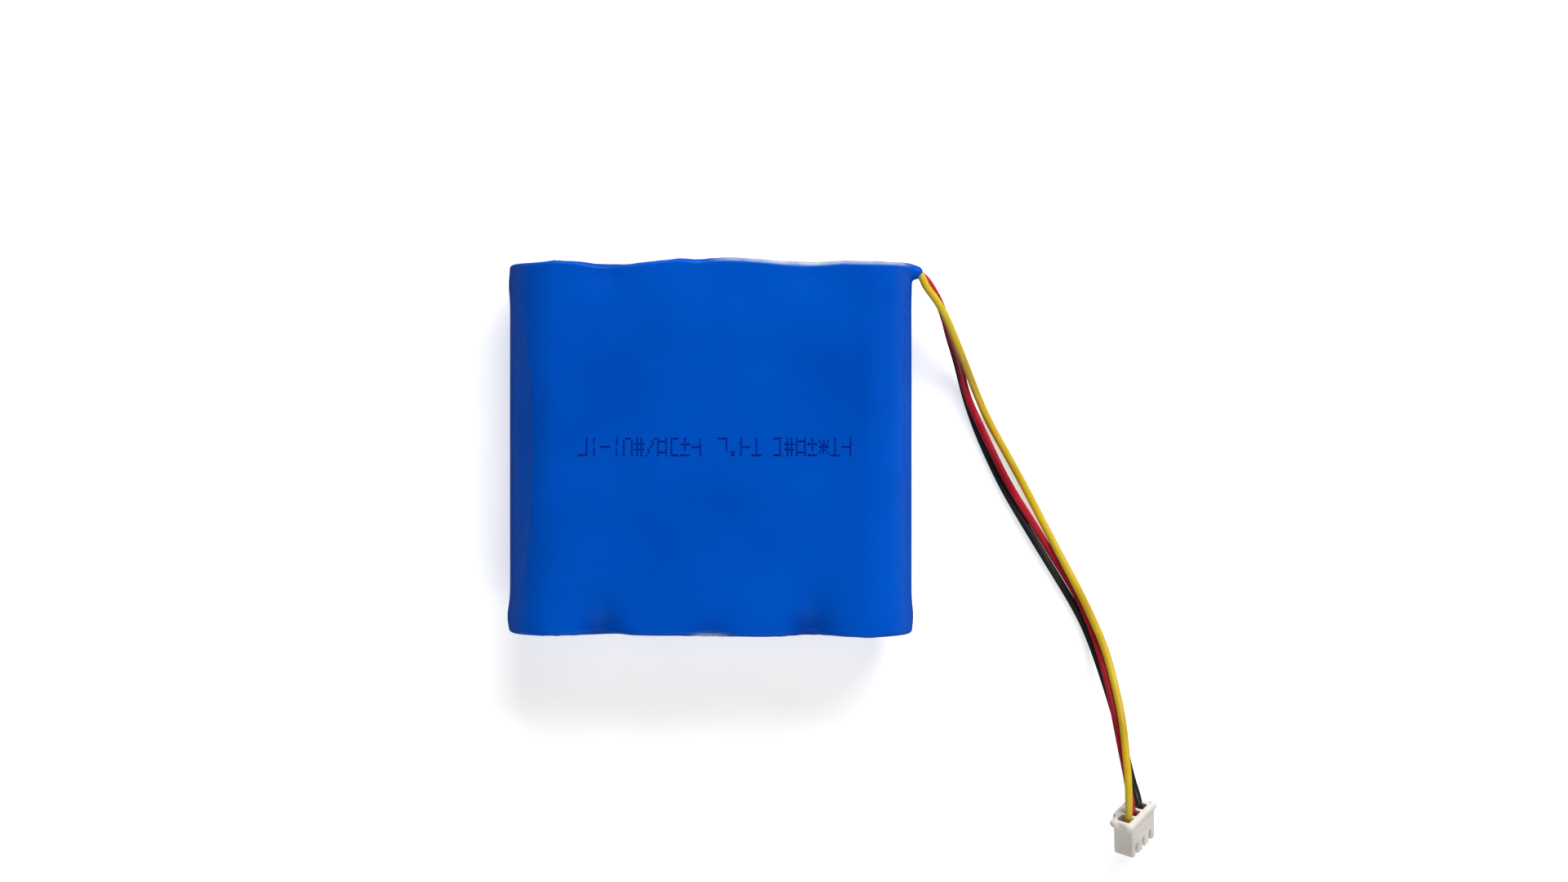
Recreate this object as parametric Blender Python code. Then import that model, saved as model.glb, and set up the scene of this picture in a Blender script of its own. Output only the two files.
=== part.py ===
"""Flat battery pack: a row of four round cells in heat-shrink film, with a protection board
over one end and three leads that run to a three-way plug.

Metres, +Z up. The pack lies on a wide face: +X runs across the row of cells, +Y points to the
end with the protection board, and the origin is under the middle of the pack.
"""

import itertools
import math

import bmesh
import bpy
from mathutils import Vector

MM = 0.001

# Driving dimensions of the pack
PACK_HEIGHT = 19.0 * MM
PACK_LENGTH = 69.5 * MM
CELL_PITCH = 18.4 * MM
CELL_LENGTH = 65.2 * MM
CELL_COUNT = 4
MIDDLE_Z = PACK_HEIGHT / 2
HALF_LENGTH = PACK_LENGTH / 2
END_CELL_X = CELL_PITCH * (CELL_COUNT - 1) / 2
CELL_X = [CELL_PITCH * i - END_CELL_X for i in range(CELL_COUNT)]
CELLS_WITH_PLUS_UP = 2

# Heat-shrink film
FILM_WALL = 0.25 * MM
FILM_CORNER = 1.8 * MM
FILM_END_FOLD = 4.8 * MM
CORNER_STEPS = 3
SIDE_STEPS = 12

# Cell, as radii and as heights above its negative end
CELL_SEGMENTS = 24
INNER_SEGMENTS = 16
SLEEVE_RADIUS = 9.15 * MM
SLEEVE_WALL = 0.15 * MM
CAN_RADIUS = 8.9 * MM
CAN_WALL = 0.3 * MM
CAN_FOOT = 0.25 * MM
CAN_TOP = 64.0 * MM
BEAD_HEIGHT = 61.0 * MM
BEAD_DEPTH = 0.8 * MM
SLEEVE_TOP = 64.5 * MM

# Layers beyond the cells' ends, as distances along Y
NICKEL = 0.15 * MM
PAPER = 0.25 * MM
LAYER_GAP = 0.08 * MM
CELLS_LOW_Y = -33.65 * MM
CELLS_HIGH_Y = CELLS_LOW_Y + CELL_LENGTH
STRIP_LOW_Y = CELLS_HIGH_Y + LAYER_GAP
BOARD_PAPER_Y = STRIP_LOW_Y + NICKEL + LAYER_GAP
CIRCUIT_Y = BOARD_PAPER_Y + PAPER + LAYER_GAP
CIRCUIT_THICKNESS = 0.5 * MM
CHIP_Y = CIRCUIT_Y + CIRCUIT_THICKNESS + LAYER_GAP
CHIP_HEIGHT = 0.9 * MM
COVER_PAPER = 0.2 * MM
COVER_PAPER_Y = HALF_LENGTH - FILM_WALL - LAYER_GAP - COVER_PAPER
VALLEY_WIRE_Z = MIDDLE_Z + 6.3 * MM

# Leads and the sleeve at the corner where they leave the film
LEAD_RADIUS = 0.7 * MM
LEAD_LOWEST_Z = 0.75 * MM
LEAD_STEPS = 104
LEAD_STRIDE = 4
SLEEVE_HALF_WIDTH = 1.2 * MM
SLEEVE_HALF_HEIGHT = 2.65 * MM
EXIT_WALL = 0.2 * MM
EXIT_CLEARANCE = 0.1 * MM

# Plug
PLUG_CENTRE = Vector((78.6, -70.9, 5.7)) * MM
PLUG_TURN = [math.radians(angle) for angle in (-51.4, 45.1, 34.2)]
WAY_PITCH = 2.54 * MM
PLUG_HALF = Vector((4.0, 2.05, 3.65)) * MM
RIM_HALF = Vector((4.35, 2.45, 0.8)) * MM

# Way out through the film's corner, and each lead's route from inside the sleeve to the plug
EXIT_PATH = [(35.2, 33.1), (36.3, 32.98), (37.2, 32.75), (37.9, 32.45), (38.5, 32.15)]
CUT_PATH = [(34.7, 33.1), (36.3, 32.98), (37.2, 32.75), (37.9, 32.45), (39.3, 31.75)]
INNER_ROUTES = {
    "yellow": [(17.0, 33.45, 11.0), (24.0, 33.45, 11.0), (31.0, 33.4, 11.0),
               (34.0, 33.2, 11.0), (35.3, 33.08, 11.0), (36.45, 32.92, 11.0)],
    "red": [(15.0, 33.45, 9.5), (24.0, 33.45, 9.5), (31.0, 33.4, 9.5),
            (34.0, 33.2, 9.5), (35.3, 33.08, 9.5), (36.45, 32.92, 9.5)],
    "black": [(13.0, 33.45, 8.0), (24.0, 33.45, 8.0), (31.0, 33.4, 8.0),
              (34.0, 33.2, 8.0), (35.3, 33.08, 8.0), (36.45, 32.92, 8.0)],
}
LEAD_ROUTES = {
    "yellow": [(36.8, 32.85, 11.0), (37.75, 32.44, 11.0), (38.52, 31.86, 11.0), (39.1, 30.9, 10.9),
               (39.75, 29.85, 10.8), (41.4, 27.7, 10.5), (43.1, 24.7, 9.6), (44.9, 20.9, 8.2),
               (46.8, 16.5, 6.4), (49.4, 10.5, 2.9), (52.3, 4.4, 0.8), (55.7, -1.8, 0.8),
               (59.0, -7.9, 0.8), (62.2, -14.1, 1.0), (65.3, -20.2, 2.1), (68.4, -26.2, 2.9),
               (71.3, -32.3, 3.4), (73.6, -38.3, 4.7), (75.0, -44.2, 6.7), (76.0, -50.1, 8.9),
               (76.5, -55.9, 10.5), (76.9, -61.1, 11.0), (76.7, -66.3, 10.2), (76.8, -68.6, 9.1),
               (77.0, -70.8, 8.0)],
    "red": [(36.8, 32.85, 9.5), (37.8, 32.52, 9.5), (38.75, 32.0, 9.5), (39.9, 30.9, 9.4),
            (41.5, 28.3, 9.0), (42.7, 25.5, 8.2), (44.3, 21.0, 6.5), (46.0, 16.5, 4.7),
            (47.6, 10.5, 2.8), (50.2, 4.3, 2.2), (53.1, -1.8, 2.1), (56.3, -7.9, 1.9),
            (60.2, -14.1, 1.2), (64.0, -20.2, 0.8), (67.7, -26.3, 1.3), (70.6, -32.4, 2.0),
            (72.6, -38.4, 3.3), (74.0, -44.4, 5.3), (75.0, -50.2, 7.4), (76.0, -56.1, 8.8),
            (77.3, -61.4, 9.1), (78.1, -65.3, 8.5), (78.3, -67.6, 7.3), (78.5, -69.8, 6.3)],
    "black": [(36.8, 32.9, 8.0), (37.85, 32.6, 8.0), (38.85, 32.12, 8.0), (40.2, 30.9, 7.9),
              (41.9, 28.3, 7.3), (43.0, 25.6, 6.4), (44.1, 21.5, 4.8), (45.7, 16.6, 2.7),
              (47.4, 10.5, 1.0), (49.4, 4.4, 0.8), (52.0, -1.8, 0.8), (55.0, -7.9, 0.8),
              (58.6, -14.1, 0.8), (62.3, -20.2, 0.8), (66.1, -26.4, 0.8), (69.5, -32.5, 0.8),
              (71.9, -38.6, 1.8), (73.7, -44.5, 3.8), (75.3, -50.4, 5.8), (76.8, -56.3, 7.1),
              (78.4, -61.6, 7.2), (79.6, -64.3, 6.7), (79.8, -66.6, 5.5), (80.0, -68.8, 4.5)],
}
LEAD_COLOURS = {"yellow": (0.68, 0.46, 0.02), "red": (0.52, 0.01, 0.03), "black": (0.02, 0.02, 0.02)}


def clear_scene():
    for item in list(bpy.data.objects):
        bpy.data.objects.remove(item, do_unlink=True)


def make_material(name, colour, roughness, metallic=0.0):
    material = bpy.data.materials.new(name)
    material.use_nodes = True
    shader = material.node_tree.nodes["Principled BSDF"]
    shader.inputs["Base Color"].default_value = (*colour, 1.0)
    shader.inputs["Roughness"].default_value = roughness
    shader.inputs["Metallic"].default_value = metallic
    return material


def link(name, data, material=None, parent=None):
    item = bpy.data.objects.new(name, data)
    bpy.context.scene.collection.objects.link(item)
    if material:
        data.materials.append(material)
    item.parent = parent
    return item


def mesh_object(name, points, faces, material, parent=None, smooth=False):
    """An object from points and faces, with its faces turned outwards."""
    mesh = bpy.data.meshes.new(name)
    mesh.from_pydata([tuple(point) for point in points], [], faces)
    shape = bmesh.new()
    shape.from_mesh(mesh)
    bmesh.ops.recalc_face_normals(shape, faces=shape.faces)
    shape.to_mesh(mesh)
    shape.free()
    if smooth:
        mesh.shade_smooth()
        mesh.set_sharp_from_angle(angle=math.radians(40))
    return link(name, mesh, material, parent)


def band(first, second):
    """Faces between two closed rings of point numbers; a ring may repeat one point on an axis."""
    faces = []
    for i in range(len(first)):
        j = (i + 1) % len(first)
        corners = [first[i], first[j], second[j], second[i]]
        faces.append(list(dict.fromkeys(corners)))
    return faces


def ring_body(name, rings, material, parent=None, smooth=True):
    """A closed body from rings of points: joined back to the first ring, so it has a hole through it."""
    size = len(rings[0])
    points = [point for ring in rings for point in ring]
    numbers = [list(range(size * i, size * (i + 1))) for i in range(len(rings))]
    faces = []
    for i in range(len(numbers)):
        faces += band(numbers[i], numbers[(i + 1) % len(numbers)])
    return mesh_object(name, points, faces, material, parent, smooth)


def turned(name, profile, material, parent=None, segments=CELL_SEGMENTS):
    """A body turned about local Z from (radius, height) points, axis to axis or a closed loop."""
    points = []
    rings = []
    for radius, height in profile:
        if radius == 0.0:
            rings.append([len(points)] * segments)
            points.append((0.0, 0.0, height))
            continue
        rings.append(list(range(len(points), len(points) + segments)))
        for i in range(segments):
            angle = math.tau * i / segments
            points.append((radius * math.cos(angle), radius * math.sin(angle), height))
    faces = []
    for i in range(len(rings) - 1):
        faces += band(rings[i], rings[i + 1])
    if profile[0][0] > 0.0:
        faces += band(rings[-1], rings[0])
    return mesh_object(name, points, faces, material, parent, smooth=True)


def block(name, low, high, material, parent=None, bevel=0.0):
    """A box between two corners, with its edges bevelled."""
    points = list(itertools.product(*zip(low, high)))
    faces = [(0, 1, 3, 2), (4, 6, 7, 5), (0, 4, 5, 1), (2, 3, 7, 6), (0, 2, 6, 4), (1, 5, 7, 3)]
    item = mesh_object(name, points, faces, material, parent)
    if bevel:
        edge = item.modifiers.new("soft_edges", "BEVEL")
        edge.width = bevel
        edge.segments = 1
    return item


def plate(name, outline, low_y, high_y, material):
    """A flat plate across the cells' ends: an outline of (x, z) points given a thickness along Y."""
    count = len(outline)
    points = [(x, low_y, z) for x, z in outline] + [(x, high_y, z) for x, z in outline]
    faces = [tuple(range(count)), tuple(range(count, 2 * count))]
    faces += band(list(range(count)), list(range(count, 2 * count)))
    return mesh_object(name, points, faces, material)


def rounded_outline(low_x, high_x, low_z, high_z, radius, steps=3):
    """Corners of a rectangle with rounded corners, as (x, z) points."""
    centres = [(high_x - radius, high_z - radius), (low_x + radius, high_z - radius),
               (low_x + radius, low_z + radius), (high_x - radius, low_z + radius)]
    outline = []
    for quarter, (x, z) in enumerate(centres):
        for step in range(steps + 1):
            angle = math.pi / 2 * (quarter + step / steps)
            outline.append((x + radius * math.cos(angle), z + radius * math.sin(angle)))
    return outline


def combine(target, tool, operation):
    """Adds a Boolean to target; the tool object is only a guide and isn't part of the model."""
    tool.hide_render = True
    tool.display_type = "WIRE"
    change = target.modifiers.new(tool.name, "BOOLEAN")
    change.operation = operation
    change.object = tool
    change.solver = "EXACT"


def cut_box(target, name, low, high, parent=None):
    combine(target, block(name, low, high, None, parent), "DIFFERENCE")


def join_box(target, name, low, high, parent=None):
    combine(target, block(name, low, high, None, parent), "UNION")


def smooth_curve(route, count):
    """Points evenly spaced on a natural cubic spline through a route."""
    knots = [Vector(point) for point in route]
    times = [0.0]
    for a, b in zip(knots, knots[1:]):
        times.append(times[-1] + math.sqrt((b - a).length))
    steps = [b - a for a, b in zip(times, times[1:])]
    bends = natural_bends(knots, steps)
    fine = []
    for i, step in enumerate(steps):
        for part in range(40):
            u = step * part / 40
            v = step - u
            fine.append((bends[i] * v ** 3 + bends[i + 1] * u ** 3) / (6 * step)
                        + (knots[i] / step - bends[i] * step / 6) * v
                        + (knots[i + 1] / step - bends[i + 1] * step / 6) * u)
    fine.append(knots[-1])
    return evenly_spaced(fine, count)


def natural_bends(knots, steps):
    """Second derivatives of the spline at its knots, zero at both ends (Thomas algorithm)."""
    count = len(knots)
    upper = [0.0] * count
    value = [Vector((0.0, 0.0, 0.0)) for _ in knots]
    for i in range(1, count - 1):
        slope = (knots[i + 1] - knots[i]) / steps[i] - (knots[i] - knots[i - 1]) / steps[i - 1]
        pivot = 2 * (steps[i - 1] + steps[i]) - steps[i - 1] * upper[i - 1]
        upper[i] = steps[i] / pivot
        value[i] = (6 * slope - steps[i - 1] * value[i - 1]) / pivot
    for i in range(count - 2, 0, -1):
        value[i] = value[i] - upper[i] * value[i + 1]
    return value


def evenly_spaced(points, count):
    """Points at equal distances along a fine polyline."""
    lengths = [0.0]
    for a, b in zip(points, points[1:]):
        lengths.append(lengths[-1] + (b - a).length)
    spaced = []
    place = 0
    for i in range(count):
        wanted = lengths[-1] * i / (count - 1)
        while place < len(points) - 2 and lengths[place + 1] < wanted:
            place += 1
        share = (wanted - lengths[place]) / (lengths[place + 1] - lengths[place])
        spaced.append(points[place].lerp(points[place + 1], min(share, 1.0)))
    return spaced


def wire(name, points, radius, material):
    """A round wire along a polyline, with closed ends."""
    curve = bpy.data.curves.new(name, "CURVE")
    curve.dimensions = "3D"
    curve.bevel_depth = radius
    curve.bevel_resolution = 2
    curve.use_fill_caps = True
    line = curve.splines.new("POLY")
    line.points.add(len(points) - 1)
    for target, point in zip(line.points, points):
        target.co = (*point, 1.0)
    return link(name, curve, material)


def stadium_ring(inset, y):
    """Points around the pack's section at one place along Y, inset from the film's outside."""
    radius = MIDDLE_Z - inset
    ring = []
    for side, start in ((1, -math.pi / 2), (-1, math.pi / 2)):
        for step in range(SIDE_STEPS + 1):
            angle = start + math.pi * step / SIDE_STEPS
            x = side * END_CELL_X + radius * math.cos(angle)
            ring.append((x, y, MIDDLE_Z + radius * math.sin(angle)))
    return ring


def film_corner(radius, reach, end):
    """(inset, y) pairs round the corner at one end of the film, from its side to its folded end."""
    pairs = []
    for step in range(CORNER_STEPS + 1):
        angle = math.pi / 2 * step / CORNER_STEPS
        inset = FILM_CORNER - radius * math.cos(angle)
        pairs.append((inset, end * (reach - radius + radius * math.sin(angle))))
    return pairs


def heat_shrink_film(material):
    """The film: a flat-sided tube with both ends drawn in, and a hole for the leads."""
    outer = film_corner(FILM_CORNER, HALF_LENGTH, 1)
    inner = film_corner(FILM_CORNER - FILM_WALL, HALF_LENGTH - FILM_WALL, 1)
    lip = [(FILM_END_FOLD, HALF_LENGTH), (FILM_END_FOLD, HALF_LENGTH - FILM_WALL)]
    top = [*outer, *lip, *reversed(inner)]
    bottom = [(inset, -y) for inset, y in reversed(top)]
    film = ring_body("heat_shrink_film", [stadium_ring(inset, y) for inset, y in top + bottom], material)
    hole = swept_oval("film_hole", CUT_PATH, EXIT_CLEARANCE, None)
    combine(film, hole, "DIFFERENCE")
    return film


def oval(grow, steps=6):
    """An upright oval with round ends, as (sideways, upward) pairs."""
    radius = SLEEVE_HALF_WIDTH + grow
    lift = SLEEVE_HALF_HEIGHT - SLEEVE_HALF_WIDTH
    pairs = []
    for half in (0, 1):
        for step in range(steps + 1):
            angle = math.pi * (half + step / steps)
            pairs.append((radius * math.cos(angle), lift * (1 - 2 * half) + radius * math.sin(angle)))
    return pairs


def oval_rings(path, grow):
    """Rings of an oval section along a level path through the film's corner."""
    centres = [Vector((x * MM, y * MM, MIDDLE_Z)) for x, y in path]
    rings = []
    for i, centre in enumerate(centres):
        ahead = (centres[min(i + 1, len(centres) - 1)] - centres[max(i - 1, 0)]).normalized()
        sideways = Vector((-ahead.y, ahead.x, 0.0))
        rings.append([centre + sideways * u + Vector((0.0, 0.0, v)) for u, v in oval(grow)])
    return rings


def swept_oval(name, path, grow, material):
    """A solid oval bar along a path."""
    rings = oval_rings(path, grow)
    size = len(rings[0])
    points = [point for ring in rings for point in ring]
    numbers = [list(range(size * i, size * (i + 1))) for i in range(len(rings))]
    faces = [tuple(numbers[0]), tuple(numbers[-1])]
    for i in range(len(numbers) - 1):
        faces += band(numbers[i], numbers[i + 1])
    return mesh_object(name, points, faces, material)


def lead_exit_sleeve(material):
    """The short sleeve of film round the three leads at the corner."""
    rings = oval_rings(EXIT_PATH, 0.0) + list(reversed(oval_rings(EXIT_PATH, -EXIT_WALL)))
    ring_body("lead_exit_sleeve", rings, material)


def cell_frame(number, x, plus_up):
    """An empty on a cell's axis at its negative end, with +Z towards its positive end."""
    frame = link(f"cell_frame_{number}", None)
    frame.location = (x, CELLS_LOW_Y if plus_up else CELLS_HIGH_Y, MIDDLE_Z)
    frame.rotation_euler = (-math.pi / 2 if plus_up else math.pi / 2, 0.0, 0.0)
    return frame


def cell_can(number, material, frame):
    """Deep-drawn steel cup with its bead groove and the lip crimped over the gasket."""
    inner = CAN_RADIUS - CAN_WALL
    lip = 7.0 * MM
    turned(f"cell_can_{number}", [
        (0.0, CAN_FOOT), (CAN_RADIUS - 0.4 * MM, CAN_FOOT), (CAN_RADIUS, CAN_FOOT + 0.4 * MM),
        (CAN_RADIUS, BEAD_HEIGHT - 0.7 * MM), (CAN_RADIUS - BEAD_DEPTH, BEAD_HEIGHT),
        (CAN_RADIUS, BEAD_HEIGHT + 0.7 * MM), (CAN_RADIUS, CAN_TOP - 0.4 * MM),
        (CAN_RADIUS - 0.4 * MM, CAN_TOP), (lip, CAN_TOP),
        (lip, CAN_TOP - CAN_WALL), (inner, CAN_TOP - CAN_WALL), (inner, BEAD_HEIGHT + 0.8 * MM),
        (inner - BEAD_DEPTH, BEAD_HEIGHT), (inner, BEAD_HEIGHT - 0.8 * MM),
        (inner, CAN_FOOT + CAN_WALL), (0.0, CAN_FOOT + CAN_WALL),
    ], material, frame)


def cell_roll(number, material, frame):
    """Wound electrodes with the hollow core left by the winding pin."""
    outside = 8.45 * MM
    core = 1.4 * MM
    low = 0.65 * MM
    high = 59.9 * MM
    profile = [(core, low), (outside, low), (outside, high), (core, high)]
    turned(f"cell_roll_{number}", profile, material, frame, INNER_SEGMENTS)


def cell_gasket(number, material, frame):
    """Plastic ring that seats the cap inside the crimp."""
    outside = 8.5 * MM
    flange = 6.2 * MM
    wall = 7.5 * MM
    low = BEAD_HEIGHT + 1.1 * MM
    high = CAN_TOP - CAN_WALL - LAYER_GAP
    turned(f"cell_gasket_{number}", [
        (flange, low), (outside, low), (outside, high), (wall, high),
        (wall, low + 0.35 * MM), (flange, low + 0.35 * MM),
    ], material, frame, INNER_SEGMENTS)


def cell_cap(number, material, frame):
    """Pressed positive cap with its raised button."""
    disc = 7.35 * MM
    low = BEAD_HEIGHT + 1.55 * MM
    button = 3.8 * MM
    turned(f"cell_cap_{number}", [
        (0.0, CELL_LENGTH - 0.4 * MM), (button - 0.5 * MM, CELL_LENGTH - 0.4 * MM),
        (button - 0.4 * MM, low), (disc, low), (disc, low + 0.4 * MM), (button, low + 0.4 * MM),
        (button - 0.1 * MM, CELL_LENGTH - 0.3 * MM), (button - 0.4 * MM, CELL_LENGTH),
        (0.0, CELL_LENGTH),
    ], material, frame, INNER_SEGMENTS)


def cell_washer(number, material, frame):
    """Paper ring that keeps the positive strip off the crimped lip."""
    hole = 4.6 * MM
    low = CAN_TOP + LAYER_GAP
    high = low + 0.15 * MM
    profile = [(hole, low), (8.6 * MM, low), (8.6 * MM, high), (hole, high)]
    turned(f"cell_washer_{number}", profile, material, frame, INNER_SEGMENTS)


def cell_sleeve(number, material, frame):
    """Printed sleeve shrunk onto the can, with both ends drawn in."""
    inner = SLEEVE_RADIUS - SLEEVE_WALL
    fold_low = 7.4 * MM
    fold_high = 6.6 * MM
    shoulder = 0.4 * MM
    rise = 0.6 * MM
    turned(f"cell_sleeve_{number}", [
        (fold_low, 0.0), (SLEEVE_RADIUS - shoulder, 0.0), (SLEEVE_RADIUS, rise),
        (SLEEVE_RADIUS, SLEEVE_TOP - 0.2 * MM), (SLEEVE_RADIUS - 0.2 * MM, SLEEVE_TOP),
        (fold_high, SLEEVE_TOP), (fold_high, SLEEVE_TOP - SLEEVE_WALL), (inner, SLEEVE_TOP - SLEEVE_WALL),
        (inner, rise + 0.1 * MM), (inner - shoulder + 0.05 * MM, SLEEVE_WALL), (fold_low, SLEEVE_WALL),
    ], material, frame)


def cells():
    steel = make_material("can_steel", (0.56, 0.56, 0.55), 0.3, 1.0)
    roll = make_material("electrode_roll", (0.25, 0.25, 0.26), 0.6, 0.6)
    gasket = make_material("gasket_plastic", (0.5, 0.5, 0.48), 0.5)
    cap = make_material("cap_steel", (0.62, 0.61, 0.58), 0.25, 1.0)
    washer = make_material("washer_paper", (0.72, 0.72, 0.68), 0.8)
    sleeve = make_material("cell_sleeve_film", (0.05, 0.32, 0.2), 0.35)
    for number, x in enumerate(CELL_X, start=1):
        frame = cell_frame(number, x, number <= CELLS_WITH_PLUS_UP)
        cell_can(number, steel, frame)
        cell_roll(number, roll, frame)
        cell_gasket(number, gasket, frame)
        cell_cap(number, cap, frame)
        cell_washer(number, washer, frame)
        cell_sleeve(number, sleeve, frame)


def nickel_strips():
    """Pure nickel strips: one over each pair at the board end, one over all four at the other end."""
    nickel = make_material("nickel_strip", (0.6, 0.58, 0.54), 0.35, 1.0)
    half = 4.0 * MM
    overhang = 4.6 * MM
    corner = 1.5 * MM
    high_y = STRIP_LOW_Y + NICKEL
    for name, first in (("nickel_strip_positive", 0), ("nickel_strip_negative", 2)):
        low_x = CELL_X[first] - overhang
        high_x = CELL_X[first + 1] + overhang
        strip = plate(name, rounded_outline(low_x, high_x, MIDDLE_Z - half, MIDDLE_Z + half, corner),
                      STRIP_LOW_Y, high_y, nickel)
        tab_x = math.copysign(13.5 * MM, CELL_X[first])
        drop = 3.4 * MM
        join_box(strip, f"{name}_drop", (tab_x - 2 * MM, STRIP_LOW_Y, drop),
                 (tab_x + 2 * MM, high_y, MIDDLE_Z - half + 0.5 * MM))
        join_box(strip, f"{name}_tab", (tab_x - 2 * MM, STRIP_LOW_Y, drop),
                 (tab_x + 2 * MM, CIRCUIT_Y - LAYER_GAP, drop + NICKEL))
        weld_slots(strip, name, CELL_X[first:first + 2], STRIP_LOW_Y, high_y)
    low_y = CELLS_LOW_Y - LAYER_GAP - NICKEL
    reach = END_CELL_X + overhang
    series = plate("nickel_strip_series",
                   rounded_outline(-reach, reach, MIDDLE_Z - half, MIDDLE_Z + half, corner),
                   low_y, low_y + NICKEL, nickel)
    join_box(series, "series_tab", (-1.5 * MM, low_y, MIDDLE_Z + half - 0.5 * MM),
             (1.5 * MM, low_y + NICKEL, VALLEY_WIRE_Z + 0.8 * MM))
    weld_slots(series, "series", CELL_X, low_y, low_y + NICKEL)


def weld_slots(strip, name, places, low_y, high_y):
    """A slit across each weld, which sends the welding current through the cell."""
    for i, x in enumerate(places):
        cut_box(strip, f"{name}_slot_{i}", (x - 0.4 * MM, low_y - MM, MIDDLE_Z - 2.2 * MM),
                (x + 0.4 * MM, high_y + MM, MIDDLE_Z + 2.2 * MM))


def end_outline(inset):
    """Outline of a board that fills the pack's end, kept clear of the film's corners."""
    return rounded_outline(-33 * MM, 33 * MM, inset, PACK_HEIGHT - inset, 6 * MM)


def insulating_boards():
    """Pressed paper boards over both ends, the upper one notched for the tabs and the valley wires."""
    paper = make_material("insulating_paper", (0.78, 0.78, 0.74), 0.85)
    outline = end_outline(1.6 * MM)
    low_y = CELLS_LOW_Y - 2 * LAYER_GAP - NICKEL - PAPER
    plate("insulator_board_bottom", outline, low_y, low_y + PAPER, paper)
    top = plate("insulator_board_top", outline, BOARD_PAPER_Y, BOARD_PAPER_Y + PAPER, paper)
    for side in (-1, 1):
        x = side * 13.5 * MM
        cut_box(top, f"tab_notch_{side}", (x - 2.4 * MM, BOARD_PAPER_Y - MM, 0.0),
                (x + 2.4 * MM, CIRCUIT_Y, 4.0 * MM))
    for name, x, half in (("tap_notch", 0.0, 1.0 * MM), ("thermistor_notch", CELL_PITCH, 1.3 * MM)):
        cut_box(top, name, (x - half, BOARD_PAPER_Y - MM, VALLEY_WIRE_Z - MM),
                (x + half, CIRCUIT_Y, PACK_HEIGHT))


def chip(name, x, z, half_x, half_z, pins, material):
    """A moulded chip with a row of flat pins along each long side."""
    body = block(name, (x - half_x, CHIP_Y, z - half_z), (x + half_x, CHIP_Y + CHIP_HEIGHT, z + half_z),
                 material)
    pitch = 2 * half_x / pins
    for i in range(pins):
        pin_x = x - half_x + pitch * (i + 0.5)
        join_box(body, f"{name}_pin_{i}", (pin_x - pitch / 4, CHIP_Y + 0.02 * MM, z - half_z - 0.7 * MM),
                 (pin_x + pitch / 4, CHIP_Y + 0.22 * MM, z + half_z + 0.7 * MM))


def protection_circuit():
    """Glass-fibre board over the cells' ends, with the chips that guard the pack, and its cover paper."""
    board = make_material("circuit_board", (0.02, 0.16, 0.07), 0.45)
    mould = make_material("chip_mould", (0.02, 0.02, 0.022), 0.5)
    ceramic = make_material("chip_ceramic", (0.35, 0.3, 0.25), 0.5)
    cover = make_material("cover_paper", (0.82, 0.82, 0.8), 0.85)
    outline = rounded_outline(-22 * MM, 22 * MM, 2.5 * MM, 16.5 * MM, 1.0 * MM, 2)
    plate("protection_board", outline, CIRCUIT_Y, CIRCUIT_Y + CIRCUIT_THICKNESS, board)
    chip("protection_chip", -13.5 * MM, MIDDLE_Z, 1.45 * MM, 0.85 * MM, 3, mould)
    chip("switch_transistor_1", -4.5 * MM, MIDDLE_Z, 1.5 * MM, 2.2 * MM, 4, mould)
    chip("switch_transistor_2", 1.5 * MM, MIDDLE_Z, 1.5 * MM, 2.2 * MM, 4, mould)
    for name, x, z, half_x, half_z in (
        ("sense_resistor", 7.0, 9.5, 1.6, 1.25),
        ("chip_resistor_1", -17.5, 12.5, 0.8, 0.4),
        ("chip_resistor_2", -17.5, 6.5, 0.8, 0.4),
        ("chip_capacitor_1", -9.5, 13.5, 0.8, 0.4),
        ("chip_capacitor_2", -9.5, 5.5, 0.8, 0.4),
    ):
        block(name, ((x - half_x) * MM, CHIP_Y, (z - half_z) * MM),
              ((x + half_x) * MM, CHIP_Y + 0.5 * MM, (z + half_z) * MM), ceramic, bevel=0.06 * MM)
    plate("board_cover_paper", end_outline(2.0 * MM), COVER_PAPER_Y, COVER_PAPER_Y + COVER_PAPER, cover)


def valley_pieces():
    """What lies in the valleys between the cells: the tap wire, the thermistor and beads of glue."""
    wire_end = CIRCUIT_Y - LAYER_GAP
    tap = make_material("tap_wire", (0.75, 0.75, 0.75), 0.5)
    ends = [(0.0, y, VALLEY_WIRE_Z) for y in (CELLS_LOW_Y + LAYER_GAP, 0.0, wire_end)]
    wire("mid_tap_wire", ends, 0.5 * MM, tap)
    bead_y = 20 * MM
    bead = make_material("thermistor_epoxy", (0.03, 0.03, 0.03), 0.3)
    frame = link("thermistor_frame", None)
    frame.location = (CELL_PITCH, bead_y, VALLEY_WIRE_Z)
    frame.rotation_euler = (-math.pi / 2, 0.0, 0.0)
    turned("thermistor_bead", [(0.0, -4.2 * MM), (0.7 * MM, -3.9 * MM), (1.1 * MM, -3.0 * MM),
                               (1.1 * MM, -1.4 * MM), (0.8 * MM, -0.4 * MM), (0.0, -0.3 * MM)],
           bead, frame, 12)
    leg = make_material("thermistor_wire", (0.6, 0.5, 0.1), 0.5)
    for number, offset in ((1, -0.4 * MM), (2, 0.4 * MM)):
        points = [(CELL_PITCH + offset, y, VALLEY_WIRE_Z) for y in (bead_y, wire_end)]
        wire(f"thermistor_wire_{number}", points, 0.3 * MM, leg)
    glue_beads()


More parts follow.
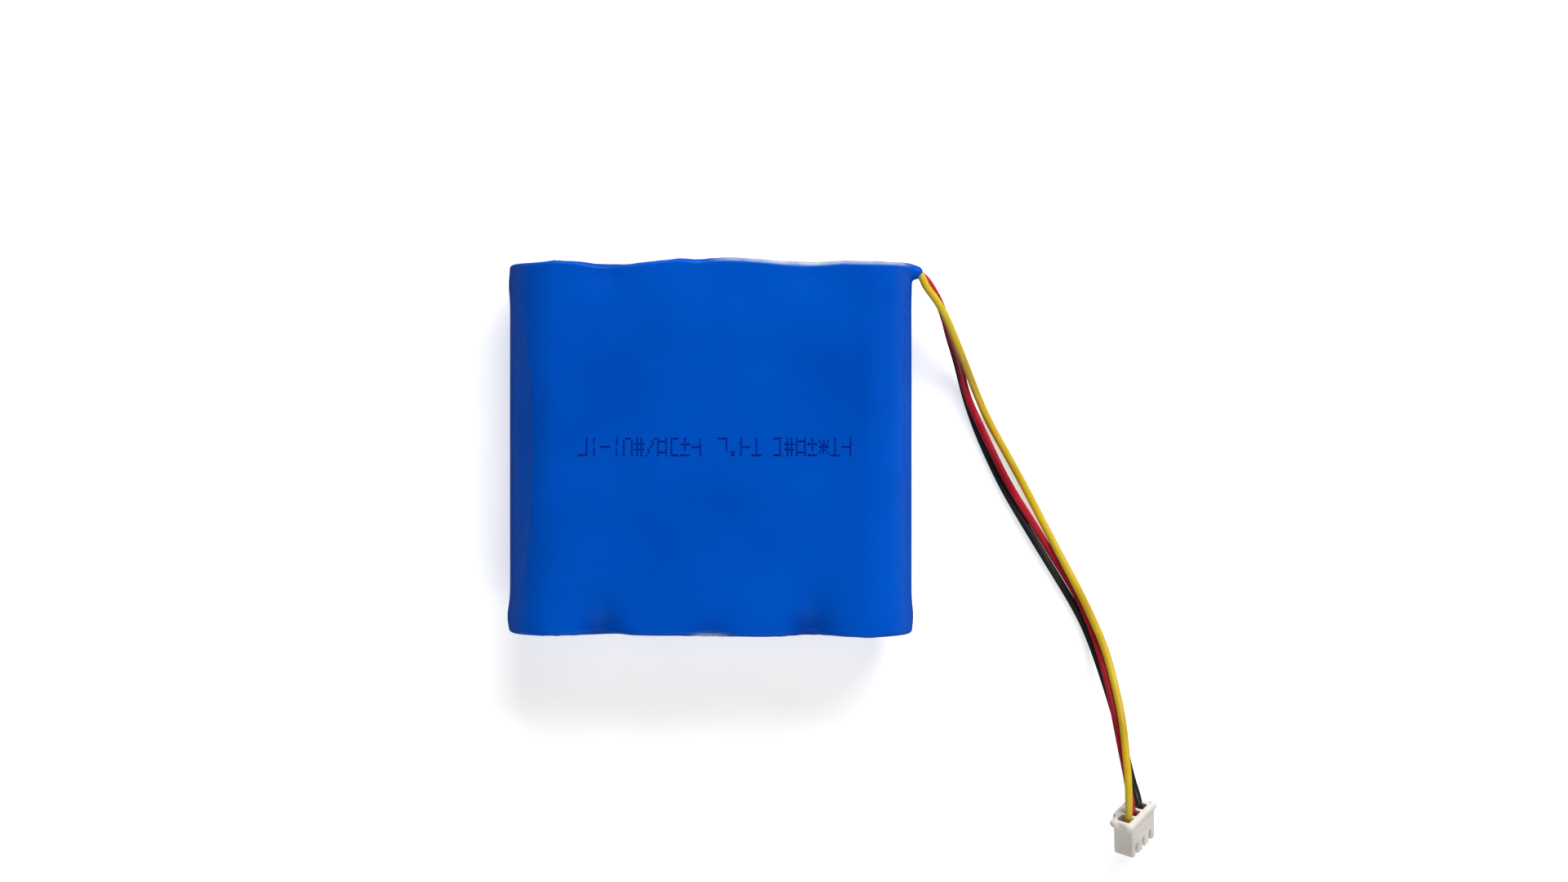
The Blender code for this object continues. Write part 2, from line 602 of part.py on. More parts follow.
def glue_beads():
    """Silicone beads that fill the lower valleys, shaped by the cells on either side."""
    glue = make_material("silicone_glue", (0.7, 0.7, 0.68), 0.45)
    reach = SLEEVE_RADIUS + LAYER_GAP
    half_pitch = CELL_PITCH / 2
    for number, valley in enumerate((-CELL_PITCH, 0.0, CELL_PITCH), start=1):
        flank = []
        for depth in (7.55, 6.6, 5.2, 3.6):
            side = half_pitch - math.sqrt(reach ** 2 - (depth * MM) ** 2)
            flank.append((side, MIDDLE_Z - depth * MM))
        base = FILM_WALL + LAYER_GAP
        outline = [(valley - 4 * MM, base), (valley + 4 * MM, base)]
        outline += [(valley + x, z) for x, z in flank]
        outline += [(valley - x, z) for x, z in reversed(flank)]
        plate(f"glue_bead_{number}", outline, -12 * MM, 12 * MM, glue)


def leads():
    """Each lead in two pieces: from the board to the sleeve, and from there to the plug."""
    for colour, value in LEAD_COLOURS.items():
        cover = make_material(f"lead_{colour}_cover", value, 0.4)
        inner = smooth_curve([Vector(point) * MM for point in INNER_ROUTES[colour]], 12)
        wire(f"inner_lead_{colour}", inner, LEAD_RADIUS, cover)
        fine = smooth_curve([Vector(point) * MM for point in LEAD_ROUTES[colour]], LEAD_STEPS + 1)
        for point in fine:
            point.z = max(point.z, LEAD_LOWEST_Z)
        free = fine[:LEAD_STRIDE] + fine[LEAD_STRIDE::LEAD_STRIDE]
        wire(f"lead_{colour}", free, LEAD_RADIUS, cover)


def plug():
    """Three-way plug: a housing with a rim at its wire end, and a crimp terminal in each way."""
    nylon = make_material("plug_nylon", (0.72, 0.69, 0.64), 0.5)
    tin = make_material("terminal_tin", (0.7, 0.68, 0.62), 0.3, 1.0)
    frame = link("plug_frame", None)
    frame.location = PLUG_CENTRE
    frame.rotation_euler = PLUG_TURN
    top = PLUG_HALF.z
    housing = block("connector_housing", -PLUG_HALF, PLUG_HALF, nylon, frame, bevel=0.3 * MM)
    rim_low = (-RIM_HALF.x, -RIM_HALF.y, top - 2 * RIM_HALF.z)
    rim = block("housing_rim", rim_low, (RIM_HALF.x, RIM_HALF.y, top), None, frame, bevel=0.35 * MM)
    combine(housing, rim, "UNION")
    for side in (-1, 1):
        ends = sorted((side * (PLUG_HALF.x + 0.02 * MM), side * 6 * MM))
        cut_box(housing, f"rim_notch_{side}", (ends[0], -0.5 * MM, 0.0),
                (ends[1], 0.5 * MM, 2.9 * MM), frame)
    for number, way in enumerate((-WAY_PITCH, 0.0, WAY_PITCH), start=1):
        cut_box(housing, f"way_{number}", (way - 1.0 * MM, -1.45 * MM, -2.3 * MM),
                (way + 1.0 * MM, 1.45 * MM, top + MM), frame)
        cut_box(housing, f"contact_hole_{number}", (way - 0.6 * MM, -0.8 * MM, -top - MM),
                (way + 0.6 * MM, 0.8 * MM, 0.0), frame)
        cut_box(housing, f"side_slot_{number}", (way - 0.55 * MM, -3.0 * MM, -top - MM),
                (way + 0.55 * MM, -0.7 * MM, -top + 2.8 * MM), frame)
        terminal = block(f"crimp_terminal_{number}", (way - 0.75 * MM, -1.1 * MM, -2.0 * MM),
                         (way + 0.75 * MM, 1.1 * MM, 0.1 * MM), tin, frame)
        join_box(terminal, f"crimp_barrel_{number}", (way - 0.6 * MM, -0.6 * MM, 0.0),
                 (way + 0.6 * MM, 0.6 * MM, 0.95 * MM), frame)


def build():
    clear_scene()
    film = make_material("film_blue", (0.0, 0.08, 0.5), 0.25)
    heat_shrink_film(film)
    lead_exit_sleeve(film)
    cells()
    nickel_strips()
    insulating_boards()
    protection_circuit()
    valley_pieces()
    leads()
    plug()


build()
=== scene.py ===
"""Four-cell battery pack in blue heat-shrink film, with three leads and a three-way plug."""

import math

import bmesh
import bpy
import numpy as np
from mathutils import Euler, Matrix, Vector, noise


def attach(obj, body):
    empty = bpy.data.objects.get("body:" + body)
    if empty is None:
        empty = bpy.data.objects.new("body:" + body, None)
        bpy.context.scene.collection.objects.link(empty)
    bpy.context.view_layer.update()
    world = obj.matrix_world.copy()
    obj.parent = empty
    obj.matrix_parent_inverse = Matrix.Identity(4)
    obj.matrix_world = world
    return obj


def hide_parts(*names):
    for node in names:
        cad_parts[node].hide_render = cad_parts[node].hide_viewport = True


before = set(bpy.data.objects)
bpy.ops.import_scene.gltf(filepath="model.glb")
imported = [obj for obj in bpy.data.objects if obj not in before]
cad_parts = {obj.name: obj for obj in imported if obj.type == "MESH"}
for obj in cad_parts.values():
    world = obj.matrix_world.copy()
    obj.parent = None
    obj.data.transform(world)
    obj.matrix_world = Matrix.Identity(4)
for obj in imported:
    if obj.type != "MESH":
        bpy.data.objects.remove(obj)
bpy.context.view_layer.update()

# Lengths are in millimetres until a mesh is made, and MM turns them into metres.
MM = 0.001
HALF = 9.5  # half the pack's thickness, and the radius of its round sides
PITCH = 18.4  # from one cell to the next
CORE = 1.5 * PITCH  # from the middle to the axis of an outer cell
FILM_WALL = 0.18
PAPER_THICKNESS = 0.12
LEAD_RADIUS = 0.7
LEAD_LOWEST = 0.75  # a lead's axis, where it lies on the table

# (x, y) along the film's folded ends: how far each end reaches, at END_HEIGHT above the table. Nearer
# the middle of the thickness an end reaches further, by END_LEAN for each millimetre of height.
TOP_END = [
    (-40.0, 33.82), (-31.1, 33.82), (-28.4, 34.08), (-24.0, 33.98), (-21.9, 33.55), (-17.7, 33.38),
    (-15.0, 33.38), (-13.3, 33.65), (-10.6, 33.95), (-7.9, 34.25), (-5.2, 34.55), (-2.6, 34.28),
    (-0.8, 34.4), (1.0, 34.55), (3.1, 34.7), (6.4, 34.58), (9.9, 34.28), (13.5, 33.98),
    (18.0, 33.83), (20.9, 33.83), (24.2, 34.13), (26.9, 34.0), (40.0, 34.0),
]
LOW_END = [
    (-40.0, 34.08), (-31.1, 34.18), (-25.2, 34.08), (-21.9, 33.93), (-18.6, 33.78), (-16.5, 33.78),
    (-14.5, 34.08), (-8.8, 34.18), (-2.9, 34.15), (0.1, 34.23), (4.6, 34.3), (9.9, 34.38),
    (13.5, 34.23), (17.1, 33.93), (20.6, 33.93), (23.0, 34.23), (27.8, 34.5), (32.8, 34.42),
    (40.0, 34.2),
]
END_HEIGHT = 17.0
END_LEAN = 0.069

# Dimples where the film draws in between the cells: x, depth, width along X, reach along Y.
TOP_DIMPLES = [(-18.3, 0.9, 3.3, 4.2), (-1.4, 0.45, 2.6, 3.4), (17.6, 0.7, 3.4, 4.6)]
LOW_DIMPLES = [(-19.5, 1.9, 3.6, 4.6), (0.4, 0.6, 3.6, 3.0), (18.8, 2.1, 4.0, 5.6)]

# The film's grid of points: columns round it, rows along it.
FLAT_COLUMNS = 96
RIGHT_COLUMNS = 104
LEFT_COLUMNS = 84
LIP_STEPS = 9  # rows over an end's fold
CORNER_STEPS = 9  # rows round the turn into that fold
INNER_ROWS = 9  # rows of the film's inside between its ends
BODY_LENGTH = 65.0  # between the two turns
WIDE_STEP = 1.25  # between rows at the middle of the body
LIP_REACH = 4.8  # from the pack's faces in to the edge of an end's opening
EXIT_CORNER = 1.0  # radius of the turn into the upper end's fold, near the exit

# The crescent crease along the left side, in degrees from the top: it starts at CREASE_LOW and comes up
# by CREASE_RISE at its middle.
CREASE_LOW = 41.0
CREASE_RISE = 12.0
CREASE_COLUMN = 33.0  # the columns that follow the crease

# (x, y) along the spout of film that the leads leave through.
EXIT_PATH = [(35.2, 33.0), (36.3, 32.86), (37.2, 32.65), (37.95, 32.38), (38.55, 32.11)]
EXIT_ROOT = (33.2, 31.2, HALF)  # the point the film's corner is drawn out from
EXIT_HALF_WIDTH = 1.12
EXIT_HALF_HEIGHT = 2.62
EXIT_FILLET = 1.35  # how softly the spout runs into the pack
# (x, y, z) along each lead's axis, from inside the spout to its way in the plug.
LEAD_ROUTES = {
    "yellow": [
        (36.8, 32.76, 11.0), (37.75, 32.46, 11.0), (38.5, 32.04, 11.0), (39.1, 31.05, 10.95),
        (39.65, 29.85, 10.85), (41.3, 27.6, 10.5), (43.1, 24.7, 9.6), (44.9, 20.9, 8.2),
        (46.8, 16.5, 6.4), (49.4, 10.5, 2.9), (52.3, 4.4, 0.8), (55.7, -1.8, 0.8),
        (59.0, -7.9, 0.8), (62.2, -14.1, 1.0), (65.3, -20.2, 2.1), (68.4, -26.2, 2.9),
        (71.3, -32.3, 3.4), (73.6, -38.3, 4.7), (75.0, -44.2, 6.7), (76.0, -50.1, 8.9),
        (76.5, -55.9, 10.5), (76.9, -61.1, 11.0), (77.12, -66.3, 10.2), (77.2, -68.6, 9.1),
        (77.25, -70.8, 8.0),
    ],
    "red": [
        (36.8, 32.76, 9.5), (37.8, 32.44, 9.5), (38.7, 31.98, 9.5), (39.85, 30.95, 9.4),
        (41.5, 28.3, 9.0), (42.7, 25.5, 8.2), (44.3, 21.0, 6.5), (46.0, 16.5, 4.7),
        (47.6, 10.5, 2.8), (50.2, 4.3, 2.2), (53.1, -1.8, 2.1), (56.3, -7.9, 1.9),
        (60.2, -14.1, 1.2), (64.0, -20.2, 0.8), (67.7, -26.3, 1.3), (70.6, -32.4, 2.0),
        (72.6, -38.4, 3.3), (74.0, -44.4, 5.3), (75.0, -50.2, 7.4), (76.0, -56.1, 8.8),
        (77.0, -61.4, 9.1), (77.65, -65.3, 8.5), (78.15, -67.6, 7.3), (78.5, -69.8, 6.3),
    ],
    "black": [
        (36.8, 32.76, 8.0), (37.8, 32.44, 8.0), (38.7, 31.95, 8.0), (39.95, 30.85, 7.9),
        (41.75, 28.2, 7.3), (42.95, 25.55, 6.4), (44.1, 21.5, 4.8), (45.7, 16.6, 2.7),
        (47.4, 10.5, 1.0), (49.4, 4.4, 0.8), (52.0, -1.8, 0.8), (55.0, -7.9, 0.8),
        (58.6, -14.1, 0.8), (62.3, -20.2, 0.8), (66.1, -26.4, 0.8), (69.5, -32.5, 0.8),
        (71.9, -38.6, 1.8), (73.7, -44.5, 3.8), (75.3, -50.4, 5.8), (76.8, -56.3, 7.1),
        (78.1, -61.6, 7.2), (79.0, -64.3, 6.7), (79.6, -66.6, 5.5), (80.0, -68.8, 4.5),
    ],
}

PLUG_CENTRE = Vector((78.6, -70.9, 5.7))
PLUG_TURN = Euler([math.radians(angle) for angle in (-51.4, 45.1, 34.2)])
WAY_PITCH = 2.54

FILM_BLUES = ((0.28, (0.0, 0.064, 0.44)), (0.5, (0.0, 0.074, 0.49)), (0.74, (0.0, 0.083, 0.53)))
FILM_SHADE = (0.0, 0.055, 0.37)
FILM_STREAK = (0.0, 0.09, 0.54)
# Painted shade: the darker blue put into the dimples at the film's ends.
FILM_DIMPLE_SHADE = (0.0, 0.02, 0.25)
# Pale stretch whitening on the end folds, also used as a painted highlight on the upper right fold and the
# lower middle.
FILM_WEAR_AND_HIGHLIGHT = (0.54, 0.62, 0.5)
FILM_DUST = (0.25, 0.36, 0.54)
INK_TONES = ((0.0, 0.008, 0.17), (0.0, 0.011, 0.21), (0.0, 0.018, 0.26))
# Each lead's three tones, and its specular level.
LEAD_TONES = {
    "yellow": (((0.48, 0.305, 0.008), (0.61, 0.41, 0.011), (0.69, 0.495, 0.018)), 0.35),
    "red": (((0.27, 0.003, 0.011), (0.39, 0.005, 0.018), (0.47, 0.009, 0.026)), 0.4),
    "black": (((0.008, 0.009, 0.008), (0.013, 0.015, 0.012), (0.022, 0.024, 0.019)), 0.4),
}


# ---------------------------------------------------------------- materials


class Nodes:
    """A material whose Principled shader is fed by procedural textures in object space."""

    def __init__(self, name):
        self.material = bpy.data.materials.new(name)
        self.material.use_nodes = True
        self.tree = self.material.node_tree
        self.shader = self.tree.nodes["Principled BSDF"]
        self.place = self.tree.nodes.new("ShaderNodeTexCoord").outputs["Object"]

    def node(self, kind, links=(), **values):
        made = self.tree.nodes.new(kind)
        for key, value in values.items():
            setattr(made, key, value)
        for socket, source in dict(links).items():
            if isinstance(source, bpy.types.NodeSocket):
                self.tree.links.new(source, made.inputs[socket])
            else:
                made.inputs[socket].default_value = source
        return made

    def stretched(self, scale):
        return self.node("ShaderNodeMapping", {"Vector": self.place, "Scale": scale}).outputs[0]

    def noise(self, scale, detail=3.0, rough=0.5, stretch=None):
        place = self.stretched(stretch) if stretch else self.place
        links = {"Vector": place, "Scale": scale, "Detail": detail, "Roughness": rough}
        return self.node("ShaderNodeTexNoise", links).outputs["Fac"]

    def spread(self, value, low, high, to_low=0.0, to_high=1.0):
        links = {"Value": value, "From Min": low, "From Max": high,
                 "To Min": to_low, "To Max": to_high}
        return self.node("ShaderNodeMapRange", links).outputs["Result"]

    def tones(self, value, stops):
        ramp = self.node("ShaderNodeValToRGB", {"Fac": value})
        line = ramp.color_ramp
        while len(line.elements) < len(stops):
            line.elements.new(0.5)
        for element, (place, colour) in zip(line.elements, stops):
            element.position = place
            element.color = (*colour, 1.0)
        return ramp.outputs["Color"]

    def mix(self, share, first, second):
        made = self.tree.nodes.new("ShaderNodeMix")
        made.data_type = "RGBA"
        for place, source in ((0, share), (6, first), (7, second)):
            if isinstance(source, bpy.types.NodeSocket):
                self.tree.links.new(source, made.inputs[place])
            else:
                value = source if isinstance(source, float) else (*source, 1.0)
                made.inputs[place].default_value = value
        return made.outputs[2]

    def math(self, operation, first, second):
        return self.node("ShaderNodeMath", {0: first, 1: second}, operation=operation).outputs[0]

    def attribute(self, name):
        return self.node("ShaderNodeAttribute", attribute_name=name).outputs["Fac"]

    def bump(self, height, distance, strength=1.0, below=None):
        links = {"Height": height, "Distance": distance, "Strength": strength}
        if below is not None:
            links["Normal"] = below
        return self.node("ShaderNodeBump", links).outputs["Normal"]

    def finish(self, colour, roughness, normal=None, **values):
        self.tree.links.new(colour, self.shader.inputs["Base Color"])
        self.tree.links.new(roughness, self.shader.inputs["Roughness"])
        if normal is not None:
            self.tree.links.new(normal, self.shader.inputs["Normal"])
        for key, value in values.items():
            self.shader.inputs[key.replace("_", " ")].default_value = value
        return self.material


def film_material():
    """Satin blue PVC film: cloudy dye, drawn streaks, fine orange peel, pale stretch whitening on the
    folds, painted highlights on the end folds, painted shade in the end dimples, and puckered ends.
    """
    n = Nodes("film_pvc")
    clouds = n.noise(46.0, 2.0, 0.5)
    fine = n.noise(950.0, 2.0, 0.6)
    streaks = n.noise(420.0, 2.0, 0.5, (1.0, 0.09, 1.0))
    mottled = n.mix(n.spread(fine, 0.35, 0.65, 0.0, 0.12), n.tones(clouds, FILM_BLUES), FILM_SHADE)
    streaked = n.mix(n.spread(streaks, 0.52, 0.75, 0.0, 0.1), mottled, FILM_STREAK)
    # Painted shade: darker blue in the dimples at the film's ends.
    dimple_shaded = n.mix(n.attribute("dimple_shade"), streaked, FILM_DIMPLE_SHADE)
    # Pale stretch whitening on the folds, and painted highlights on the upper right fold and the lower
    # middle, which also roughen the film there.
    uneven = n.spread(n.noise(420.0, 3.0), 0.3, 0.7, 0.6, 1.0)
    wear_and_highlight_patches = n.math("MULTIPLY", n.attribute("wear_and_highlight"), uneven)
    worn_and_highlit = n.mix(wear_and_highlight_patches, dimple_shaded, FILM_WEAR_AND_HIGHLIGHT)
    specks = n.node("ShaderNodeTexVoronoi", {"Vector": n.place, "Scale": 210.0}).outputs["Distance"]
    colour = n.mix(n.spread(specks, 0.012, 0.022, 0.22, 0.0), worn_and_highlit, FILM_DUST)
    satin = n.spread(n.noise(120.0, 3.0, 0.5), 0.0, 1.0, 0.285, 0.365)
    roughness = n.math("ADD", satin, n.math("MULTIPLY", wear_and_highlight_patches, 0.12))
    peel = n.bump(n.noise(2600.0, 2.0, 0.5), 0.00003, 0.28)
    drawn = n.bump(streaks, 0.00006, 0.3, peel)
    puckers = n.math("MULTIPLY", n.attribute("lip"), n.noise(430.0, 3.0, 0.5, (1.0, 0.6, 0.16)))
    puckered = n.bump(puckers, 0.0014, 0.7, drawn)
    swell = n.bump(n.noise(160.0, 2.0, 0.4), 0.0002, 0.1, puckered)
    return n.finish(colour, roughness, swell, Specular_IOR_Level=0.2, IOR=1.5,
                    Specular_Tint=(0.15, 0.5, 1.0, 1.0))


def lead_material(name, tones, specular):
    """Extruded PVC insulation: slight dye drift along the wire, handling marks, and a soft sheen."""
    n = Nodes(name)
    drift = n.noise(90.0, 3.0, 0.55)
    grime = n.noise(900.0, 4.0, 0.65)
    base = n.tones(drift, list(zip((0.3, 0.52, 0.75), tones)))
    colour = n.mix(n.spread(grime, 0.55, 0.8, 0.0, 0.3), base, tones[0])
    roughness = n.spread(n.noise(500.0, 3.0), 0.3, 0.7, 0.3, 0.46)
    skin = n.bump(n.noise(3200.0, 2.0), 0.00002, 0.25)
    waves = n.bump(n.noise(420.0, 2.0), 0.00008, 0.3, skin)
    return n.finish(colour, roughness, waves, Specular_IOR_Level=specular)


def surface(name, tones, scale, roughness, metal=0.0, bump=0.00002, stretch=None, **values):
    """A general finish: three tones and the roughness over one noise, with a grain of finer noise."""
    n = Nodes(name)
    base = n.noise(scale, 4.0, 0.55, stretch)
    grain = n.noise(scale * 6.0, 3.0, 0.6, stretch)
    colour = n.tones(base, list(zip((0.3, 0.5, 0.72), tones)))
    shaded = n.mix(n.spread(grain, 0.4, 0.75, 0.0, 0.25), colour, tones[0])
    rough = n.spread(base, 0.3, 0.7, *roughness)
    normal = n.bump(grain, bump, 0.5)
    return n.finish(shaded, rough, normal, Metallic=metal, **values)


def paper_material():
    """Off-white insulating paper: pressed fibres, faint mottling and a matt face."""
    n = Nodes("fish_paper")
    fibres = n.noise(2200.0, 4.0, 0.7, (0.35, 1.0, 1.0))
    pulp = n.noise(260.0, 4.0, 0.6)
    base = n.tones(pulp, [(0.3, (0.47, 0.465, 0.43)), (0.5, (0.51, 0.505, 0.47)),
                          (0.75, (0.55, 0.545, 0.51))])
    colour = n.mix(n.spread(fibres, 0.52, 0.72, 0.0, 0.35), base, (0.38, 0.37, 0.33))
    rough = n.spread(fibres, 0.3, 0.7, 0.72, 0.9)
    pressed = n.bump(fibres, 0.00006, 0.5)
    waved = n.bump(pulp, 0.0002, 0.3, pressed)
    return n.finish(colour, rough, waved)


def nylon_material():
    """Natural moulded nylon: warm white, with flow clouds, a fine moulded grain and a dull gloss."""
    n = Nodes("plug_nylon_moulded")
    flow = n.noise(300.0, 3.0, 0.5, (1.0, 1.0, 0.4))
    grain = n.noise(4200.0, 2.0, 0.5)
    base = n.tones(flow, [(0.3, (0.62, 0.575, 0.52)), (0.5, (0.68, 0.64, 0.595)),
                          (0.72, (0.73, 0.7, 0.66))])
    colour = n.mix(n.spread(grain, 0.5, 0.8, 0.0, 0.18), base, (0.55, 0.5, 0.44))
    rough = n.spread(flow, 0.3, 0.7, 0.36, 0.5)
    fine = n.bump(grain, 0.00002, 0.35)
    sinks = n.bump(n.noise(520.0, 2.0), 0.00012, 0.3, fine)
    return n.finish(colour, rough, sinks, Subsurface_Weight=0.12, Subsurface_Scale=0.0008,
                    Subsurface_Radius=(1.0, 0.9, 0.75))


# ------------------------------------------------------------------- meshes


def new_object(name, data):
    """An object with this data, in the scene."""
    made = bpy.data.objects.new(name, data)
    bpy.context.scene.collection.objects.link(made)
    return made


def mesh_object(name, points, faces, material):
    """A smooth piece on the pack's body from points in millimetres, its faces turned outwards."""
    mesh = bpy.data.meshes.new(name)
    mesh.from_pydata([tuple(float(v) * MM for v in p) for p in points], [], faces)
    body = bmesh.new()
    body.from_mesh(mesh)
    bmesh.ops.recalc_face_normals(body, faces=body.faces)
    body.to_mesh(mesh)
    body.free()
    mesh.polygons.foreach_set("use_smooth", [True] * len(mesh.polygons))
    mesh.materials.append(material)
    made = new_object(name, mesh)
    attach(made, "root")
    return made


def grid_faces(rows, columns, around=True, along=False):
    """Quads over a grid of points, closed around its columns and, if asked, along its rows."""
    faces = []
    for i in range(rows if along else rows - 1):
        for j in range(columns if around else columns - 1):
            k = (j + 1) % columns
            low, high = i * columns, (i + 1) % rows * columns
            faces.append((low + j, low + k, high + k, high + j))
    return faces


def capped(rows, columns):
    """Faces of a loft with a fan-free cap on its first and last ring."""
    faces = grid_faces(rows, columns)
    faces.append(tuple(range(columns - 1, -1, -1)))
    faces.append(tuple((rows - 1) * columns + j for j in range(columns)))
    return faces


def smooth_step(value, low, high):
    share = np.clip((value - low) / (high - low), 0.0, 1.0)
    return share * share * (3.0 - 2.0 * share)


def softened(x, knots, blur=1.1):
    """A line through the knots with its corners rounded off."""
    places, values = zip(*knots)
    shifts = np.linspace(-blur, blur, 9)
    return np.mean([np.interp(x + shift, places, values) for shift in shifts], axis=0)


def wobble(x, y, z, scale):
    """Smooth noise from -1 to 1 at each point, with waves about scale millimetres long."""
    flat = np.stack(np.broadcast_arrays(x, y, z), axis=-1) / scale
    values = [noise.noise(Vector(p)) for p in flat.reshape(-1, 3)]
    return np.array(values).reshape(flat.shape[:-1])


def distances_along(line):
    """How far along a line of points each of them is."""
    return np.concatenate(([0.0], np.cumsum(np.linalg.norm(np.diff(line, axis=0), axis=1))))


def natural_spline(route, count):
    """Points at equal distances along the natural cubic spline through a route, and its length."""
    knots = np.array(route)
    steps = np.linalg.norm(np.diff(knots, axis=0), axis=1) ** 0.5
    at = np.concatenate(([0.0], np.cumsum(steps)))
    size = len(knots)
    system = np.eye(size)
    wanted = np.zeros((size, 3))
    for i in range(1, size - 1):
        system[i, i - 1:i + 2] = steps[i - 1], 2.0 * (steps[i - 1] + steps[i]), steps[i]
        before = (knots[i] - knots[i - 1]) / steps[i - 1]
        wanted[i] = 6.0 * ((knots[i + 1] - knots[i]) / steps[i] - before)
    bend = np.linalg.solve(system, wanted)
    fine = np.linspace(0.0, at[-1], 1200)
    i = np.clip(np.searchsorted(at, fine, side="right") - 1, 0, size - 2)
    step = steps[i][:, None]
    left = (at[i + 1] - fine)[:, None]
    gone = (fine - at[i])[:, None]
    line = (bend[i] * left ** 3 + bend[i + 1] * gone ** 3) / (6.0 * step)
    line += (knots[i] / step - bend[i] * step / 6.0) * left
    line += (knots[i + 1] / step - bend[i + 1] * step / 6.0) * gone
    line[:, 2] = np.maximum(line[:, 2], LEAD_LOWEST)
    travelled = distances_along(line)
    even = np.linspace(0.0, travelled[-1], count)
    return np.stack([np.interp(even, travelled, line[:, k]) for k in range(3)], axis=1), travelled[-1]


# --------------------------------------------------------------------- film


def valley(x):
    """1 over the valley between two cells, 0 over a cell's crest."""
    return 0.5 - 0.5 * np.cos(2.0 * np.pi * (x - PITCH / 2) / PITCH)


def end_reach(x, height, knots):
    """How far an end of the film reaches along Y, at a height above or below the middle."""
    level = HALF + np.abs(height - HALF)
    return softened(x, knots) + END_LEAN * (END_HEIGHT - level)


def film_sink(x, y, side):
    """How far the film's broad face is drawn in between the cells, side 1 above and -1 below."""
    depth = 0.07 * valley(x)
    for knots, dimples, end in ((TOP_END, TOP_DIMPLES, 1.0), (LOW_END, LOW_DIMPLES, -1.0)):
        distance = np.maximum(softened(x, knots) - end * y, 0.0)
        for place, deep, wide, reach in dimples:
            shift = place if side > 0 else 0.85 * place
            across = np.exp(-((x - shift) / wide) ** 2)
            depth = depth + deep * across * np.exp(-(distance / reach) ** 1.7)
    return depth


def sheet_sag(x, y, round_way):
    """Slow unevenness over the whole film, always inwards."""
    return 0.035 * (1.0 + wobble(x, y, round_way, 15.0))


def crease_angle(y):
    """Angle from the top, in degrees, of the crescent crease along the left side, and its strength."""
    share = np.clip(1.0 - ((y + 0.5) / 22.4) ** 2, 0.0, 1.0)
    return CREASE_LOW - CREASE_RISE * share ** 0.8, share ** 0.5


def film_columns():
    """Axis place and angle from the top of each column of points round the film's section."""
    flat = np.linspace(-CORE, CORE, FLAT_COLUMNS, endpoint=False)
    share = np.arange(RIGHT_COLUMNS) / RIGHT_COLUMNS - 0.5
    right = np.pi * (0.5 + 0.55 * share + 1.8 * share ** 3)
    left = np.pi * (1.0 + np.arange(LEFT_COLUMNS) / LEFT_COLUMNS)
    axis = np.concatenate((flat, np.full(RIGHT_COLUMNS, CORE), -flat, np.full(LEFT_COLUMNS, -CORE)))
    angle = np.concatenate((np.zeros(FLAT_COLUMNS), right, np.full(FLAT_COLUMNS, np.pi), left))
    return axis, angle


def body_rows():
    """Shares from 0 to 1 along the film's straight length, closer together near the ends."""
    steps = []
    place = 0.0
    while place < BODY_LENGTH:
        near = min(place, BODY_LENGTH - place)
        fine = 0.22 if place > BODY_LENGTH / 2 else 0.34
        step = fine + (WIDE_STEP - fine) * min(near / 16.0, 1.0)
        steps.append(step)
        place += step
    rows = np.cumsum(steps)
    return rows[:-1] / rows[-1]


def corner_radius(x, end):
    """Radius of the turn from the film's body into its end fold."""
    if end > 0:
        return 0.7 + (EXIT_CORNER - 0.7) * smooth_step(x, 0.0, 6.0)
    return 0.75 + 0.4 * np.exp(-((x - 0.2) / 3.2) ** 2)


def end_fold(end, knots, axis, angle):
    """Rows of the film from an end's opening to its body.

    Each row holds, for every column, how far in from the pack's face it is, its place along Y, and how
    much of the body's relief it has.
    """
    round_way = angle * HALF
    on_flat = np.abs(axis) < CORE - 0.01
    plan_x = axis + HALF * np.sin(angle)
    lip = LIP_REACH + 0.3 * wobble(axis, 0.0, round_way, 7.0) + 0.16 * wobble(axis, 5.0, round_way, 2.2)
    radius = corner_radius(plan_x, end) + 0.2 * np.where(on_flat, valley(axis), 0.0)
    pleat = np.abs(wobble(axis, end * 3.0, round_way, 1.9)) * np.where(on_flat, 0.6, 1.3)
    if end > 0:
        pleat = pleat * (1.0 - 0.65 * smooth_step(plan_x, 3.0, 7.0))
    rows = []
    for step in range(LIP_STEPS, 0, -1):
        share = step / LIP_STEPS
        inset = radius + (lip - radius) * share
        reach = end_reach(plan_x, 2.0 * HALF - inset, knots) + 0.22 * pleat * share
        rows.append((inset, end * reach, np.full_like(axis, (1.0 - share) ** 1.4)))
    flat_reach = end_reach(plan_x, 2.0 * HALF - radius, knots)
    for step in range(CORNER_STEPS, -1, -1):
        turn = 0.5 * np.pi * step / CORNER_STEPS
        inset = radius * (1.0 - np.cos(turn))
        reach = flat_reach - radius + radius * np.sin(turn)
        rows.append((inset, end * reach, np.ones_like(axis)))
    return rows


def left_crease(axis, angle, y):
    """Angles bent on the left side to follow its crescent crease, and the flatter facet below it."""
    left = (axis < -CORE + 0.01) & (angle > np.pi)
    from_top = np.degrees(2.0 * np.pi - angle)
    crease, strength = crease_angle(y)
    pull = np.interp(from_top, (0.0, CREASE_COLUMN, 80.0), (0.0, 1.0, 0.0))
    warped = from_top + (crease - CREASE_COLUMN) * pull
    past = np.clip((warped - crease) / 34.0, 0.0, 1.0)
    facet = np.where(left, 2.43 * strength * past * (1.0 - past) ** 2, 0.0)
    return np.where(left, 2.0 * np.pi - np.radians(warped), angle), facet


